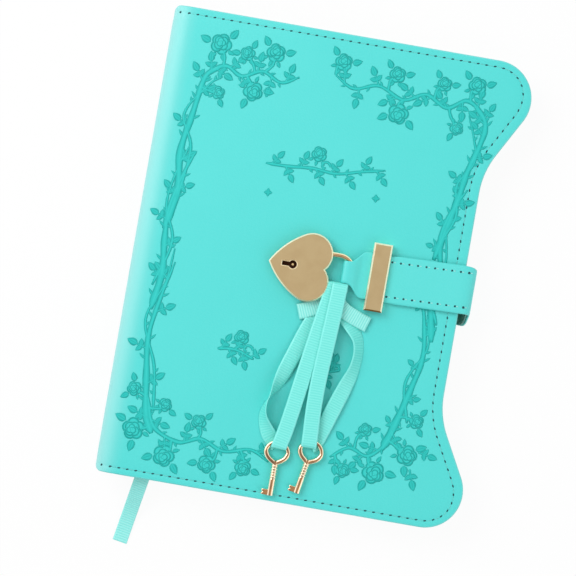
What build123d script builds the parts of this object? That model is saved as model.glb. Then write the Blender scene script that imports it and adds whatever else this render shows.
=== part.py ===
from build123d import *
import os
from math import acos, asin, cos, degrees, radians, sin, sqrt, tan

os.makedirs("parts", exist_ok=True)

# A diary with a wavy fore edge, closed by a strap, a gold keeper and a heart padlock with two keys.
# It lies closed on its back cover: spine at -X, fore edge at +X, head at +Y, front cover up.
# Lengths are millimetres and angles are degrees. The origin is under the middle of the cover.

# Cover outline
cover_height = 215.0
cover_width = 167.0
waist_depth = 16.2
wing_radius = 17.2
wing_slope = 28.5
waist_blend_radius = 38.0
cover_edge_round = 0.8

# Cover layers: an outer skin with a pocket, a stiff board in it, and a lining sewn on at the margin
skin_thickness = 1.2
board_thickness = 1.2
lining_thickness = 0.8
seam_margin = 7.0
board_clearance = 0.2
lining_setback = 0.4

# Spine and front crease
spine_thickness = 2.2
spine_corner_radius = 5.0
spine_end_round = 2.0
crease_from_spine = 9.0
hinge_gap = 0.3

# Text block
page_margin = 4.0
fore_edge_margin = 4.0
spine_hollow = 1.0
liner_thickness = 0.6
liner_overhang = 1.9
signature_count = 8
signatures_under_bookmark = 5
signature_thickness = 1.45
signature_gap = 0.05
endpaper_thickness = 0.2
leaf_thickness = 0.15
leaf_gap = 0.15
leaf_setback = 0.3
band_radius = 0.9

# Bookmark ribbon
bookmark_width = 6.8
bookmark_thickness = 0.35
bookmark_clearance = 0.08
bookmark_rest_lift = 0.2
bookmark_exit_from_spine = 22.0
bookmark_slant = 4.9
bookmark_hang = 29.7
bookmark_overlap = 8.0
bookmark_droop_start = 5.0
bookmark_droop_end = 19.0

# Strap, its keeper and the keeper's screws
lock_line = 0.8
strap_width = 21.1
strap_outer_thickness = 1.1
strap_lining_thickness = 1.0
strap_lift = 0.3
strap_stand_off = 5.5
strap_upper_bend = 4.5
strap_lower_bend = 3.0
strap_lip_lift = 0.5
strap_seam_gap = 0.3
keeper_from_spine = 112.0
keeper_width = 8.3
keeper_length = 30.9
keeper_plate = 2.4
keeper_bevel = 0.7
keeper_side_clearance = 0.5
keeper_top_clearance = 0.5
screw_radius = 1.0
screw_clearance = 0.05
screw_grip = 2.5
screw_head_radius = 2.5
screw_head_thickness = 0.7
screw_head_clearance = 0.2

# Tongue of the strap, folded round the shackle
tongue_width = 9.6
tongue_reach = 12.4
tongue_neck = 7.0
tongue_rise_start = 2.4
tongue_rise_bend = 2.5
tongue_rise_clearance = 1.0
tongue_flap_end = 4.0
flap_gap = 0.5
fold_inner_radius = 1.5
fold_lift = 0.25
wire_clearance = 0.2

# Padlock
shackle_wire_radius = 1.25
shackle_bend_radius = 6.9
shackle_exposed = 3.25
shackle_pivot_depth = 6.2
shackle_eye_margin = 1.6
shackle_latch_depth = 5.4
latch_notch_width = 1.6
latch_notch_depth = 0.8
latch_notch_from_end = 0.9
heart_length = 28.3
heart_drop = 0.75
lobe_radius = 9.3
lobe_offset = 6.3
lobe_end_angle = 119.0
heart_tip_radius = 0.9
heart_bevel = 0.6
case_wall = 1.5
case_floor = 1.0
face_thickness = 1.0
cavity_height = 3.2
padlock_swing = 70.0
shackle_side_clearance = 0.3
latch_mouth_room = 2.0
pivot_pin_radius = 0.55
pivot_clearance = 0.05
keyhole_from_tip = 11.0
keyhole_clearance = 0.4
keyhole_bevel = 0.35
key_post_radius = 0.6
post_setback = 0.3
latch_thickness = 0.4
latch_height = 2.2
latch_bend = 1.2
latch_hook_clearance = 0.2
latch_hook_length = 3.8
latch_arm_length = 8.0
latch_lift = 0.9
latch_stud_radius = 0.6
latch_stud_clearance = 0.1
latch_stud_from_post = 4.6

# Keys
key_ring_radius = 5.1
key_ring_wire = 1.0
key_throat = 7.4
key_length = 19.3
key_shaft_radius = 1.45
key_collar_radius = 1.7
key_collar_length = 0.5
key_collar_pitch = 1.0
key_collar_count = 6
key_collar_start = 0.9
key_bit_length = 2.6
key_bit_reach = 4.5
key_bit_thickness = 1.5
key_bit_notch = 0.8
key_post_clearance = 0.2
key_bore_depth = 5.0
left_key_place = (80.6, -85.3)
left_key_lean = 0.0
right_key_place = (95.5, -82.5)
right_key_lean = -9.7

# Key ribbon: one loop to each key, tied in a knot round the shackle's lower leg
ribbon_width = 6.5
ribbon_thickness = 0.35
ribbon_lift = 0.3
ribbon_fold_clearance = 0.25
ribbon_wrap = 0.9
wrap_clearance = 0.1
wrap_span = 4.4
wrap_heart_gap = 1.0
tail_lift = 1.35
left_strip_height = 5.3
right_strip_height = 6.2
return_start = 10.0

# Ways of the ribbons in plan, as distance from the spine's edge and height above mid-book
bookmark_way = [(11.3, 94.9), (21.3, 56.2), (27.9, 16.8), (30.7, -23.1), (29.4, -63.1)]
left_tail = [(94.9, -8.4), (91.4, -16.6), (80.0, -20.9)]
right_tail = [(96.5, -9.5), (100.6, -17.0), (109.8, -22.4)]
left_return = [(77.5, -66.0), (76.0, -53.0), (80.0, -38.0), (87.5, -22.5), (93.0, -11.5)]
right_return = [(101.0, -62.0), (106.5, -47.0), (107.8, -34.0), (106.5, -25.0), (98.5, -11.5)]

# Values worked out from the sizes above
spine_x = -cover_width / 2
crease_x = spine_x + crease_from_spine
hinge_x = crease_x + hinge_gap
waist_x = spine_x + cover_width - waist_depth
cover_thickness = skin_thickness + board_thickness + lining_thickness

page_left = spine_x + spine_thickness + spine_hollow + liner_thickness
page_right = waist_x - fore_edge_margin
page_width = page_right - page_left
page_height = cover_height - 2 * page_margin
block_bottom = cover_thickness + endpaper_thickness
signature_pitch = signature_thickness + signature_gap
bookmark_slot = bookmark_thickness + 2 * bookmark_clearance
block_top = block_bottom + signature_count * signature_pitch + bookmark_slot
title_leaf_z = block_top + leaf_gap
flyleaf_z = title_leaf_z + leaf_thickness + leaf_gap
front_inner = flyleaf_z + leaf_thickness + leaf_gap
cover_top = front_inner + cover_thickness

strap_mid = cover_top + strap_lift + strap_lining_thickness
strap_bend_x = waist_x + strap_stand_off - strap_outer_thickness
lip_mid = strap_lip_lift + strap_outer_thickness
keeper_x = spine_x + keeper_from_spine
keeper_left = keeper_x - keeper_width / 2
slot_width = strap_width + 2 * keeper_side_clearance
slot_height = strap_lift + strap_lining_thickness + strap_outer_thickness + keeper_top_clearance
keeper_height = slot_height + keeper_plate
keeper_leg_y = (keeper_length + slot_width) / 4
screw_spots = [(keeper_x, lock_line - keeper_leg_y), (keeper_x, lock_line + keeper_leg_y)]

# The straight fold of the tongue lies inside the round bend of the shackle, clear of it at its edges
fold_outer = fold_inner_radius + strap_outer_thickness
fold_x = keeper_left - tongue_reach + fold_outer
bend_chord = sqrt(shackle_bend_radius**2 - (tongue_width / 2) ** 2)
wire_slant = shackle_wire_radius * shackle_bend_radius / bend_chord
bend_x = fold_x - fold_inner_radius - bend_chord + wire_slant + wire_clearance
shackle_z = cover_top + fold_outer + fold_lift

lobe_right = bend_x - shackle_exposed
lobe_x = lobe_right - lobe_radius
tip_x = lobe_right - heart_length
pivot_x = lobe_right - shackle_pivot_depth
leg_end_x = lobe_right - shackle_latch_depth
cavity_bottom = shackle_z - cavity_height / 2
cavity_top = cavity_bottom + cavity_height
case_bottom = cavity_bottom - case_floor
face_top = cavity_top + face_thickness
keyhole_x = tip_x + keyhole_from_tip
keyhole_radius = key_shaft_radius + keyhole_clearance
keyhole_slot = key_bit_reach + keyhole_clearance
keyhole_slot_width = key_bit_thickness + keyhole_clearance

# The ribbon's fold lies inside each key's round bow in the same way
ring_chord = sqrt(key_ring_radius**2 - (ribbon_width / 2) ** 2)
ring_slant = key_ring_wire * key_ring_radius / ring_chord
ribbon_fold_radius = ring_slant + ribbon_fold_clearance
ribbon_fold_mid = ribbon_fold_radius + ribbon_thickness / 2
key_z = cover_top + ribbon_lift + ribbon_thickness + ribbon_fold_radius
strip_low = key_z - ribbon_fold_mid
strip_high = key_z + ribbon_fold_mid
wrap_radius = shackle_wire_radius + wrap_clearance + ribbon_wrap
knot_x = lobe_right + wrap_heart_gap + ribbon_width / 2
knot_y = lock_line - shackle_bend_radius


def cover_face(left, inset):
    """Cover outline with a straight spine side at x = left, drawn in by inset on its other sides."""
    top = cover_height / 2 - inset
    waist = waist_x - inset
    wing = wing_radius - inset
    blend = waist_blend_radius + inset
    turn = radians(90 + wing_slope)
    corner = spine_x + cover_width - inset - wing + wing * tan(turn / 2)
    neck = top - (corner - waist) / tan(radians(wing_slope))
    lower_half = [(left, -top), (corner, -top), (waist, -neck)]
    upper_half = [(waist, neck), (corner, top), (left, top)]
    with BuildSketch() as outline:
        with BuildLine():
            FilletPolyline(*lower_half, *upper_half, radius=[0, wing, blend, blend, wing, 0], close=True)
        make_face()
    return outline.sketch


def heart_face():
    """Heart outline a little below the lock line, its tip towards the spine."""
    start_angle = -degrees(asin(lobe_offset / lobe_radius))
    end = radians(lobe_end_angle)
    side_start = (lobe_x + lobe_radius * cos(end), lobe_offset + lobe_radius * sin(end))
    with BuildSketch() as outline:
        with BuildLine():
            CenterArc((lobe_x, lobe_offset), lobe_radius, start_angle, lobe_end_angle - start_angle)
            TangentArc(side_start, (tip_x, 0), tangent=(-sin(end), cos(end)))
            mirror(about=Plane.XZ)
        make_face()
        fillet(outline.vertices().sort_by(Axis.X)[0], heart_tip_radius)
    return outline.sketch.moved(Location((0, -heart_drop, 0)))


def easy_bends(points):
    """Radius at each inner point of a way: 0.45 of its shorter run over the tangent of half its turn."""
    radii = []
    for before, at, after in zip(points, points[1:], points[2:]):
        turn = (at - before).get_angle(after - at)
        run = min((at - before).length, (after - at).length)
        radii.append(0.45 * run / tan(radians(turn / 2)))
    return radii


def lock_plane(height):
    """Level plane on the lock line, for the padlock's sketches."""
    return Plane(origin=(0, lock_line, height))


def outer_edges(face):
    """Edges of a cover face, all but the straight one at the crease."""
    return face.edges().filter_by(lambda edge: edge.center().X > hinge_x + lining_setback)


# Back cover, from the table up
with BuildPart() as back_skin:
    with BuildSketch():
        add(cover_face(crease_x, 0))
    extrude(amount=skin_thickness + board_thickness)
    with BuildSketch(Plane.XY.offset(skin_thickness)):
        add(cover_face(crease_x + seam_margin, seam_margin))
    extrude(amount=board_thickness, mode=Mode.SUBTRACT)
    fillet(outer_edges(back_skin.faces().sort_by(Axis.Z)[0]), cover_edge_round)
back_skin.part.label = "back_skin"
export_step(back_skin.part, "parts/back_skin.step")

with BuildPart() as back_board:
    with BuildSketch(Plane.XY.offset(skin_thickness)):
        add(cover_face(crease_x + seam_margin + board_clearance, seam_margin + board_clearance))
    extrude(amount=board_thickness)
back_board.part.label = "back_board"
export_step(back_board.part, "parts/back_board.step")

with BuildPart() as back_lining:
    with BuildSketch(Plane.XY.offset(skin_thickness + board_thickness)):
        add(cover_face(crease_x, lining_setback))
    extrude(amount=lining_thickness)
back_lining.part.label = "back_lining"
export_step(back_lining.part, "parts/back_lining.step")

# Spine: the same skin carried round in a square back with soft corners, from crease to crease
with BuildPart() as spine_skin:
    with BuildSketch(Plane.XZ):
        with BuildLine():
            spine_mid_x = spine_x + spine_thickness / 2
            spine_low = spine_thickness / 2
            spine_high = cover_top - spine_thickness / 2
            FilletPolyline(
                (crease_x, spine_low),
                (spine_mid_x, spine_low),
                (spine_mid_x, spine_high),
                (crease_x, spine_high),
                radius=spine_corner_radius - spine_thickness / 2,
            )
        trace(line_width=spine_thickness)
    extrude(amount=cover_height / 2, both=True)
    fillet(spine_skin.faces().sort_by(Axis.X)[0].edges().filter_by(Axis.Z), spine_end_round)
spine_skin.part.label = "spine_skin"
export_step(spine_skin.part, "parts/spine_skin.step")

# Text block: folded signatures on a cloth liner, with a bead at each end of the back
with BuildPart() as signatures:
    for index in range(signature_count):
        raised = bookmark_slot if index >= signatures_under_bookmark else 0
        bottom = block_bottom + index * signature_pitch + raised
        with BuildSketch(Plane.XZ):
            with Locations((page_left, bottom)):
                Rectangle(page_width, signature_thickness, align=(Align.MIN, Align.MIN))
        extrude(amount=page_height / 2, both=True)
    fold_edges = signatures.edges().filter_by(Axis.Y).group_by(Axis.X)[0]
    fillet(fold_edges, signature_thickness * 0.45)
signatures.part.label = "signatures"
export_step(signatures.part, "parts/signatures.step")

with BuildPart() as spine_liner:
    with BuildSketch(Plane.XY.offset(block_bottom)):
        with Locations((page_left, 0)):
            Rectangle(liner_thickness, page_height + 2 * liner_overhang, align=(Align.MAX, Align.CENTER))
    extrude(amount=block_top - block_bottom)
spine_liner.part.label = "spine_liner"
export_step(spine_liner.part, "parts/spine_liner.step")

for band_name, side in (("head_band", 1), ("tail_band", -1)):
    with BuildPart() as band:
        with BuildSketch(Plane.XY.offset(block_bottom)):
            with Locations((page_left + band_radius, side * (page_height / 2 + band_radius))):
                Circle(band_radius)
        extrude(amount=block_top - block_bottom)
    band.part.label = band_name
    export_step(band.part, f"parts/{band_name}.step")

with BuildPart() as back_flyleaf:
    with BuildSketch(Plane.XY.offset(cover_thickness)):
        with Locations((page_left, 0)):
            Rectangle(page_width, page_height, align=(Align.MIN, Align.CENTER))
    extrude(amount=endpaper_thickness)
back_flyleaf.part.label = "back_flyleaf"
export_step(back_flyleaf.part, "parts/back_flyleaf.step")

for leaf_name, height in (("title_leaf", title_leaf_z), ("front_flyleaf", flyleaf_z)):
    with BuildPart() as leaf:
        with BuildSketch(Plane.XY.offset(height)):
            with Locations((page_right, 0)):
                leaf_width = page_right - hinge_x - leaf_setback
                Rectangle(leaf_width, page_height, align=(Align.MAX, Align.CENTER))
        extrude(amount=leaf_thickness)
    leaf.part.label = leaf_name
    export_step(leaf.part, f"parts/{leaf_name}.step")

# Bookmark: glued at the head of the back, laid between two signatures, and drooping to the table
bookmark_z = block_bottom + signatures_under_bookmark * signature_pitch + bookmark_clearance
bookmark_mid = bookmark_z + bookmark_thickness / 2
bookmark_exit = Vector(spine_x + bookmark_exit_from_spine, -cover_height / 2)
bookmark_end = bookmark_exit + Vector(-bookmark_slant, -bookmark_hang)
bookmark_reach = (bookmark_end - bookmark_exit).length
bookmark_along = (bookmark_end - bookmark_exit).normalized()
bookmark_plan = [Vector(spine_x + u, v) for u, v in bookmark_way]
bookmark_plan.append(bookmark_exit - bookmark_along * bookmark_overlap / 2)
bookmark_floor = bookmark_rest_lift + bookmark_thickness / 2
bookmark_droop = [
    Vector(-bookmark_overlap, bookmark_mid),
    Vector(bookmark_droop_start, bookmark_mid),
    Vector(bookmark_droop_end, bookmark_floor),
    Vector(bookmark_reach, bookmark_floor),
]
bookmark_side = Plane(
    origin=bookmark_exit,
    x_dir=bookmark_along,
    z_dir=bookmark_along.cross(Vector(0, 0, 1)),
)
with BuildPart() as bookmark_ribbon:
    with BuildSketch(Plane.XY.offset(bookmark_z)):
        with BuildLine():
            FilletPolyline(*bookmark_plan, radius=easy_bends(bookmark_plan))
        trace(line_width=bookmark_width)
    extrude(amount=bookmark_thickness)
    with BuildSketch(bookmark_side):
        with BuildLine():
            FilletPolyline(*bookmark_droop, radius=easy_bends(bookmark_droop))
        trace(line_width=bookmark_thickness)
    extrude(amount=bookmark_width / 2, both=True)
bookmark_ribbon.part.label = "bookmark_ribbon"
export_step(bookmark_ribbon.part, "parts/bookmark_ribbon.step")
bookmark_radii = easy_bends(bookmark_plan) + easy_bends(bookmark_droop)
print("bookmark_ribbon bends", [round(radius) for radius in bookmark_radii])

# Front cover, from the pages up, with the keeper's screw holes
front_board_z = front_inner + lining_thickness
with BuildPart() as front_skin:
    with BuildSketch(Plane.XY.offset(front_board_z)):
        add(cover_face(hinge_x, 0))
    extrude(amount=skin_thickness + board_thickness)
    with BuildSketch(Plane.XY.offset(front_board_z)):
        add(cover_face(hinge_x + seam_margin, seam_margin))
    extrude(amount=board_thickness, mode=Mode.SUBTRACT)
    fillet(outer_edges(front_skin.faces().sort_by(Axis.Z)[-1]), cover_edge_round)
    with BuildSketch(Plane.XY.offset(front_board_z)):
        with Locations(*screw_spots):
            Circle(screw_radius + screw_clearance)
    extrude(amount=board_thickness + skin_thickness, mode=Mode.SUBTRACT)
front_skin.part.label = "front_skin"
export_step(front_skin.part, "parts/front_skin.step")

with BuildPart() as front_board:
    with BuildSketch(Plane.XY.offset(front_board_z)):
        add(cover_face(hinge_x + seam_margin + board_clearance, seam_margin + board_clearance))
        with Locations(*screw_spots):
            Circle(screw_radius + screw_clearance, mode=Mode.SUBTRACT)
    extrude(amount=board_thickness)
    with BuildSketch(Plane.XY.offset(front_board_z)):
        with Locations(*screw_spots):
            Circle(screw_head_radius + screw_head_clearance)
    extrude(amount=screw_head_thickness, mode=Mode.SUBTRACT)
front_board.part.label = "front_board"
export_step(front_board.part, "parts/front_board.step")

with BuildPart() as front_lining:
    with BuildSketch(Plane.XY.offset(front_inner)):
        add(cover_face(hinge_x, lining_setback))
    extrude(amount=lining_thickness)
front_lining.part.label = "front_lining"
export_step(front_lining.part, "parts/front_lining.step")

# Keeper: a bevelled gold bridge over the strap, screwed on from inside the cover
with BuildPart() as strap_keeper:
    with BuildSketch(Plane.YZ.offset(keeper_x)):
        with Locations((lock_line, cover_top)):
            Rectangle(keeper_length, keeper_height, align=(Align.CENTER, Align.MIN))
            Rectangle(slot_width, slot_height, align=(Align.CENTER, Align.MIN), mode=Mode.SUBTRACT)
    extrude(amount=keeper_width / 2, both=True)
    chamfer(strap_keeper.faces().sort_by(Axis.Z)[-1].edges(), keeper_bevel)
    with BuildSketch(Plane.XY.offset(cover_top)):
        with Locations(*screw_spots):
            Circle(screw_radius + screw_clearance)
    extrude(amount=screw_grip + screw_clearance, mode=Mode.SUBTRACT)
strap_keeper.part.label = "strap_keeper"
export_step(strap_keeper.part, "parts/strap_keeper.step")

with BuildPart() as keeper_screws:
    with BuildSketch(Plane.XY.offset(front_board_z)):
        with Locations(*screw_spots):
            Circle(screw_head_radius)
    extrude(amount=screw_head_thickness)
    with BuildSketch(Plane.XY.offset(front_board_z)):
        with Locations(*screw_spots):
            Circle(screw_radius)
    extrude(amount=board_thickness + skin_thickness + screw_grip)
keeper_screws.part.label = "keeper_screws"
export_step(keeper_screws.part, "parts/keeper_screws.step")

# Strap: two layers from the back cover's fore-edge seam, round the fore edge and through the keeper.
# The outer layer runs on into a tongue that folds back on itself round the shackle.
strap_plane = Plane.XZ.offset(-lock_line)
flap_end_x = keeper_left - tongue_flap_end
fold_mid = fold_inner_radius + strap_outer_thickness / 2
neck_end_x = keeper_left - tongue_neck


def strap_bend(outward):
    """Points and bend radii of a layer's way round the fore edge, set outward from the layers' seam."""
    points = [
        (waist_x + strap_seam_gap, lip_mid - outward),
        (strap_bend_x + outward, lip_mid - outward),
        (strap_bend_x + outward, strap_mid + outward),
    ]
    return points, [strap_lower_bend + outward, strap_upper_bend + outward]


def tongue_plan():
    """Plan of the strap: full width to the keeper, then a hollow taper to the narrow tongue."""
    wide = strap_width / 2
    narrow = tongue_width / 2
    end = fold_x - 2 * fold_outer
    far = strap_bend_x + strap_stand_off
    with BuildSketch() as plan:
        with BuildLine():
            Polyline((end, 0), (end, narrow), (neck_end_x, narrow))
            TangentArc((neck_end_x, narrow), (keeper_left, wide), tangent=(1, 0))
            Polyline((keeper_left, wide), (far, wide), (far, 0))
            mirror(about=Plane.XZ)
        make_face()
    return plan.sketch


with BuildPart() as strap_outer:
    bend_points, bend_radii = strap_bend(strap_outer_thickness / 2)
    with BuildSketch(strap_plane):
        with BuildLine():
            FilletPolyline(
                *bend_points,
                (keeper_left - tongue_rise_start, strap_mid + strap_outer_thickness / 2),
                (bend_x + shackle_bend_radius + tongue_rise_clearance, shackle_z + fold_mid),
                (fold_x - fold_mid, shackle_z + fold_mid),
                (fold_x - fold_mid, shackle_z - fold_mid),
                (flap_end_x, shackle_z - fold_mid),
                radius=[*bend_radii, tongue_rise_bend, tongue_rise_bend, 0.97 * fold_mid, 0.97 * fold_mid],
            )
        trace(line_width=strap_outer_thickness)
    extrude(amount=strap_width / 2, both=True)
    with BuildSketch(lock_plane(0)):
        add(tongue_plan())
    extrude(amount=shackle_z + 2 * fold_outer, mode=Mode.INTERSECT)
strap_outer.part.label = "strap_outer"
export_step(strap_outer.part, "parts/strap_outer.step")

with BuildPart() as strap_lining:
    bend_points, bend_radii = strap_bend(-strap_lining_thickness / 2)
    with BuildSketch(strap_plane):
        with BuildLine():
            FilletPolyline(
                *bend_points,
                (flap_end_x + flap_gap, strap_mid - strap_lining_thickness / 2),
                radius=bend_radii,
            )
        trace(line_width=strap_lining_thickness)
    extrude(amount=strap_width / 2, both=True)
    with BuildSketch(lock_plane(0)):
        add(tongue_plan())
    extrude(amount=shackle_z + 2 * fold_outer, mode=Mode.INTERSECT)
strap_lining.part.label = "strap_lining"
export_step(strap_lining.part, "parts/strap_lining.step")

# Shackle: a bent wire with a pivot eye in the upper leg and a latch notch in the lower one
with BuildPart() as shackle:
    with BuildLine(lock_plane(shackle_z)) as shackle_path:
        Line((pivot_x - shackle_eye_margin, shackle_bend_radius), (bend_x, shackle_bend_radius))
        CenterArc((bend_x, 0), shackle_bend_radius, 90, -180)
        Line((bend_x, -shackle_bend_radius), (leg_end_x, -shackle_bend_radius))
    with BuildSketch(Plane(origin=shackle_path.line @ 0, z_dir=shackle_path.line % 0)):
        Circle(shackle_wire_radius)
    sweep()
    with BuildSketch(lock_plane(shackle_z)):
        with Locations((pivot_x, shackle_bend_radius)):
            Circle(pivot_pin_radius + pivot_clearance)
        with Locations((leg_end_x + latch_notch_from_end, shackle_wire_radius - shackle_bend_radius)):
            Rectangle(latch_notch_width, 2 * latch_notch_depth, align=(Align.MIN, Align.CENTER))
    extrude(amount=2 * shackle_wire_radius, both=True, mode=Mode.SUBTRACT)
shackle.part.label = "shackle"
export_step(shackle.part, "parts/shackle.step")

# Padlock: a heart-shaped cup, open at the side where the shackle swings, under a bevelled face plate
shackle_slot = 2 * (shackle_wire_radius + shackle_side_clearance)
slot_reach = 2 * lobe_radius
latch_arm_y = key_bit_reach - latch_lift - heart_drop
hook_x = leg_end_x + latch_notch_from_end + latch_notch_width / 2
hook_end_y = shackle_wire_radius - shackle_bend_radius - latch_notch_depth + latch_hook_clearance
stud_x = keyhole_x - latch_stud_from_post
stud_y = latch_arm_y - latch_stud_radius - latch_stud_clearance - latch_thickness / 2
with BuildPart() as padlock_case:
    with BuildSketch(lock_plane(case_bottom)):
        add(heart_face())
    extrude(amount=case_floor + cavity_height)
    chamfer(padlock_case.faces().sort_by(Axis.Z)[0].edges(), heart_bevel)
    with BuildSketch(lock_plane(cavity_bottom)):
        add(heart_face())
        offset(amount=-case_wall)
    extrude(amount=cavity_height, mode=Mode.SUBTRACT)
    with BuildSketch(lock_plane(cavity_bottom)):
        with Locations((pivot_x, shackle_bend_radius)):
            for angle in (0, padlock_swing):
                Rectangle(slot_reach, shackle_slot, rotation=angle, align=(Align.MIN, Align.CENTER))
        with BuildLine():
            swing_near = (pivot_x + slot_reach, shackle_bend_radius)
            swing_far_x = pivot_x + slot_reach * cos(radians(padlock_swing))
            swing_far_y = shackle_bend_radius + slot_reach * sin(radians(padlock_swing))
            Polyline((pivot_x, shackle_bend_radius), swing_near, (swing_far_x, swing_far_y), close=True)
        make_face()
        with Locations((leg_end_x, -shackle_bend_radius - shackle_slot / 2)):
            mouth_height = shackle_slot + latch_mouth_room
            Rectangle(slot_reach, mouth_height, align=(Align.MIN, Align.MIN))
    extrude(amount=cavity_height, mode=Mode.SUBTRACT)
    with BuildSketch(lock_plane(cavity_bottom)):
        with Locations((stud_x, stud_y)):
            Circle(latch_stud_radius)
    extrude(amount=latch_height)
padlock_case.part.label = "padlock_case"
export_step(padlock_case.part, "parts/padlock_case.step")

with BuildPart() as padlock_face:
    with BuildSketch(lock_plane(cavity_top)):
        add(heart_face())
    extrude(amount=face_thickness)
    chamfer(padlock_face.faces().sort_by(Axis.Z)[-1].edges(), heart_bevel)
    with BuildSketch(lock_plane(cavity_top)):
        with Locations((keyhole_x, -heart_drop)):
            Circle(keyhole_radius)
            Rectangle(keyhole_slot, keyhole_slot_width, align=(Align.MAX, Align.CENTER))
    extrude(amount=face_thickness, mode=Mode.SUBTRACT)
    rim = padlock_face.faces().sort_by(Axis.Z)[-1].inner_wires()[0]
    chamfer(rim.edges(), keyhole_bevel)
padlock_face.part.label = "padlock_face"
export_step(padlock_face.part, "parts/padlock_face.step")

with BuildPart() as pivot_pin:
    with BuildSketch(lock_plane(cavity_bottom)):
        with Locations((pivot_x, shackle_bend_radius)):
            Circle(pivot_pin_radius)
    extrude(amount=cavity_height)
pivot_pin.part.label = "pivot_pin"
export_step(pivot_pin.part, "parts/pivot_pin.step")

with BuildPart() as key_post:
    with BuildSketch(lock_plane(cavity_bottom)):
        with Locations((keyhole_x, -heart_drop)):
            Circle(key_post_radius)
    extrude(amount=cavity_height + face_thickness - post_setback)
    fillet(key_post.faces().sort_by(Axis.Z)[-1].edges(), key_post_radius / 2)
key_post.part.label = "key_post"
export_step(key_post.part, "parts/key_post.step")

with BuildPart() as latch_spring:
    with BuildSketch(lock_plane(cavity_bottom)):
        with BuildLine():
            FilletPolyline(
                (stud_x - latch_stud_radius, latch_arm_y),
                (keyhole_x + latch_arm_length, latch_arm_y),
                (hook_x, hook_end_y + latch_hook_length),
                (hook_x, hook_end_y),
                radius=latch_bend,
            )
        trace(line_width=latch_thickness)
    extrude(amount=latch_height)
latch_spring.part.label = "latch_spring"
export_step(latch_spring.part, "parts/latch_spring.step")


def key_plane(place, lean):
    """Level plane at a key's bow: its -Y runs down the shaft, which leans from straight by lean."""
    turned = Vector(1, 0, 0).rotate(Axis.Z, lean)
    return Plane(origin=(spine_x + place[0], place[1], key_z), x_dir=turned)


# Keys: a wire bow drawn to a throat, a ridged neck, a barrel that fits the padlock's post, a bit to the left
bow_touch = degrees(acos(key_ring_radius / key_throat))
bow_touch_x = key_ring_radius * sin(radians(bow_touch))
bow_touch_y = -key_ring_radius * cos(radians(bow_touch))
for key_name, place, lean in (
    ("key_left", left_key_place, left_key_lean),
    ("key_right", right_key_place, right_key_lean),
):
    flat = key_plane(place, lean)
    across = Plane(origin=flat.origin, x_dir=flat.x_dir, z_dir=-flat.y_dir)
    with BuildPart() as key:
        with BuildLine(flat) as bow_path:
            Line((0, -key_throat), (bow_touch_x, bow_touch_y))
            CenterArc((0, 0), key_ring_radius, bow_touch - 90, 180 - bow_touch)
        with BuildSketch(Plane(origin=bow_path.line @ 0, z_dir=bow_path.line % 0)):
            Circle(key_ring_wire)
        sweep()
        mirror(about=Plane(origin=flat.origin, z_dir=flat.x_dir))
        with BuildSketch(across.offset(key_throat - key_ring_wire)):
            Circle(key_shaft_radius)
        extrude(amount=key_length - key_throat + key_ring_wire)
        for ridge in range(key_collar_count):
            with BuildSketch(across.offset(key_throat + key_collar_start + ridge * key_collar_pitch)):
                Circle(key_collar_radius)
            extrude(amount=key_collar_length)
        with BuildSketch(flat):
            with Locations((0, -key_length)):
                Rectangle(key_bit_reach, key_bit_length, align=(Align.MAX, Align.MIN))
            with Locations((-key_bit_reach, key_bit_length / 2 - key_length)):
                Rectangle(2 * key_bit_notch, key_bit_notch, mode=Mode.SUBTRACT)
        extrude(amount=key_bit_thickness / 2, both=True)
        with BuildSketch(across.offset(key_length)):
            Circle(key_post_radius + key_post_clearance)
        extrude(amount=-key_bore_depth, mode=Mode.SUBTRACT)
    key.part.label = key_name
    export_step(key.part, f"parts/{key_name}.step")

# Key ribbon: the knot round the shackle, with two cut tails
wrap_start_x = lobe_right + wrap_heart_gap
wrap_turn = degrees((wrap_span - (bend_x - wrap_start_x)) / shackle_bend_radius)
with BuildPart() as ribbon_knot:
    with BuildLine(lock_plane(shackle_z)) as wrap_path:
        Line((wrap_start_x, -shackle_bend_radius), (bend_x, -shackle_bend_radius))
        CenterArc((bend_x, 0), shackle_bend_radius, -90, wrap_turn)
    with BuildSketch(Plane(origin=wrap_path.line @ 0, z_dir=wrap_path.line % 0)):
        Circle(wrap_radius)
        Circle(shackle_wire_radius + wrap_clearance, mode=Mode.SUBTRACT)
    sweep()
    for tail in (left_tail, right_tail):
        tail_way = [Vector(spine_x + u, v) for u, v in tail]
        with BuildSketch(Plane.XY.offset(cover_top + tail_lift)):
            with BuildLine():
                FilletPolyline(*tail_way, radius=easy_bends(tail_way))
            trace(line_width=ribbon_width)
        extrude(amount=ribbon_thickness)
ribbon_knot.part.label = "ribbon_knot"
export_step(ribbon_knot.part, "parts/ribbon_knot.step")

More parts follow.
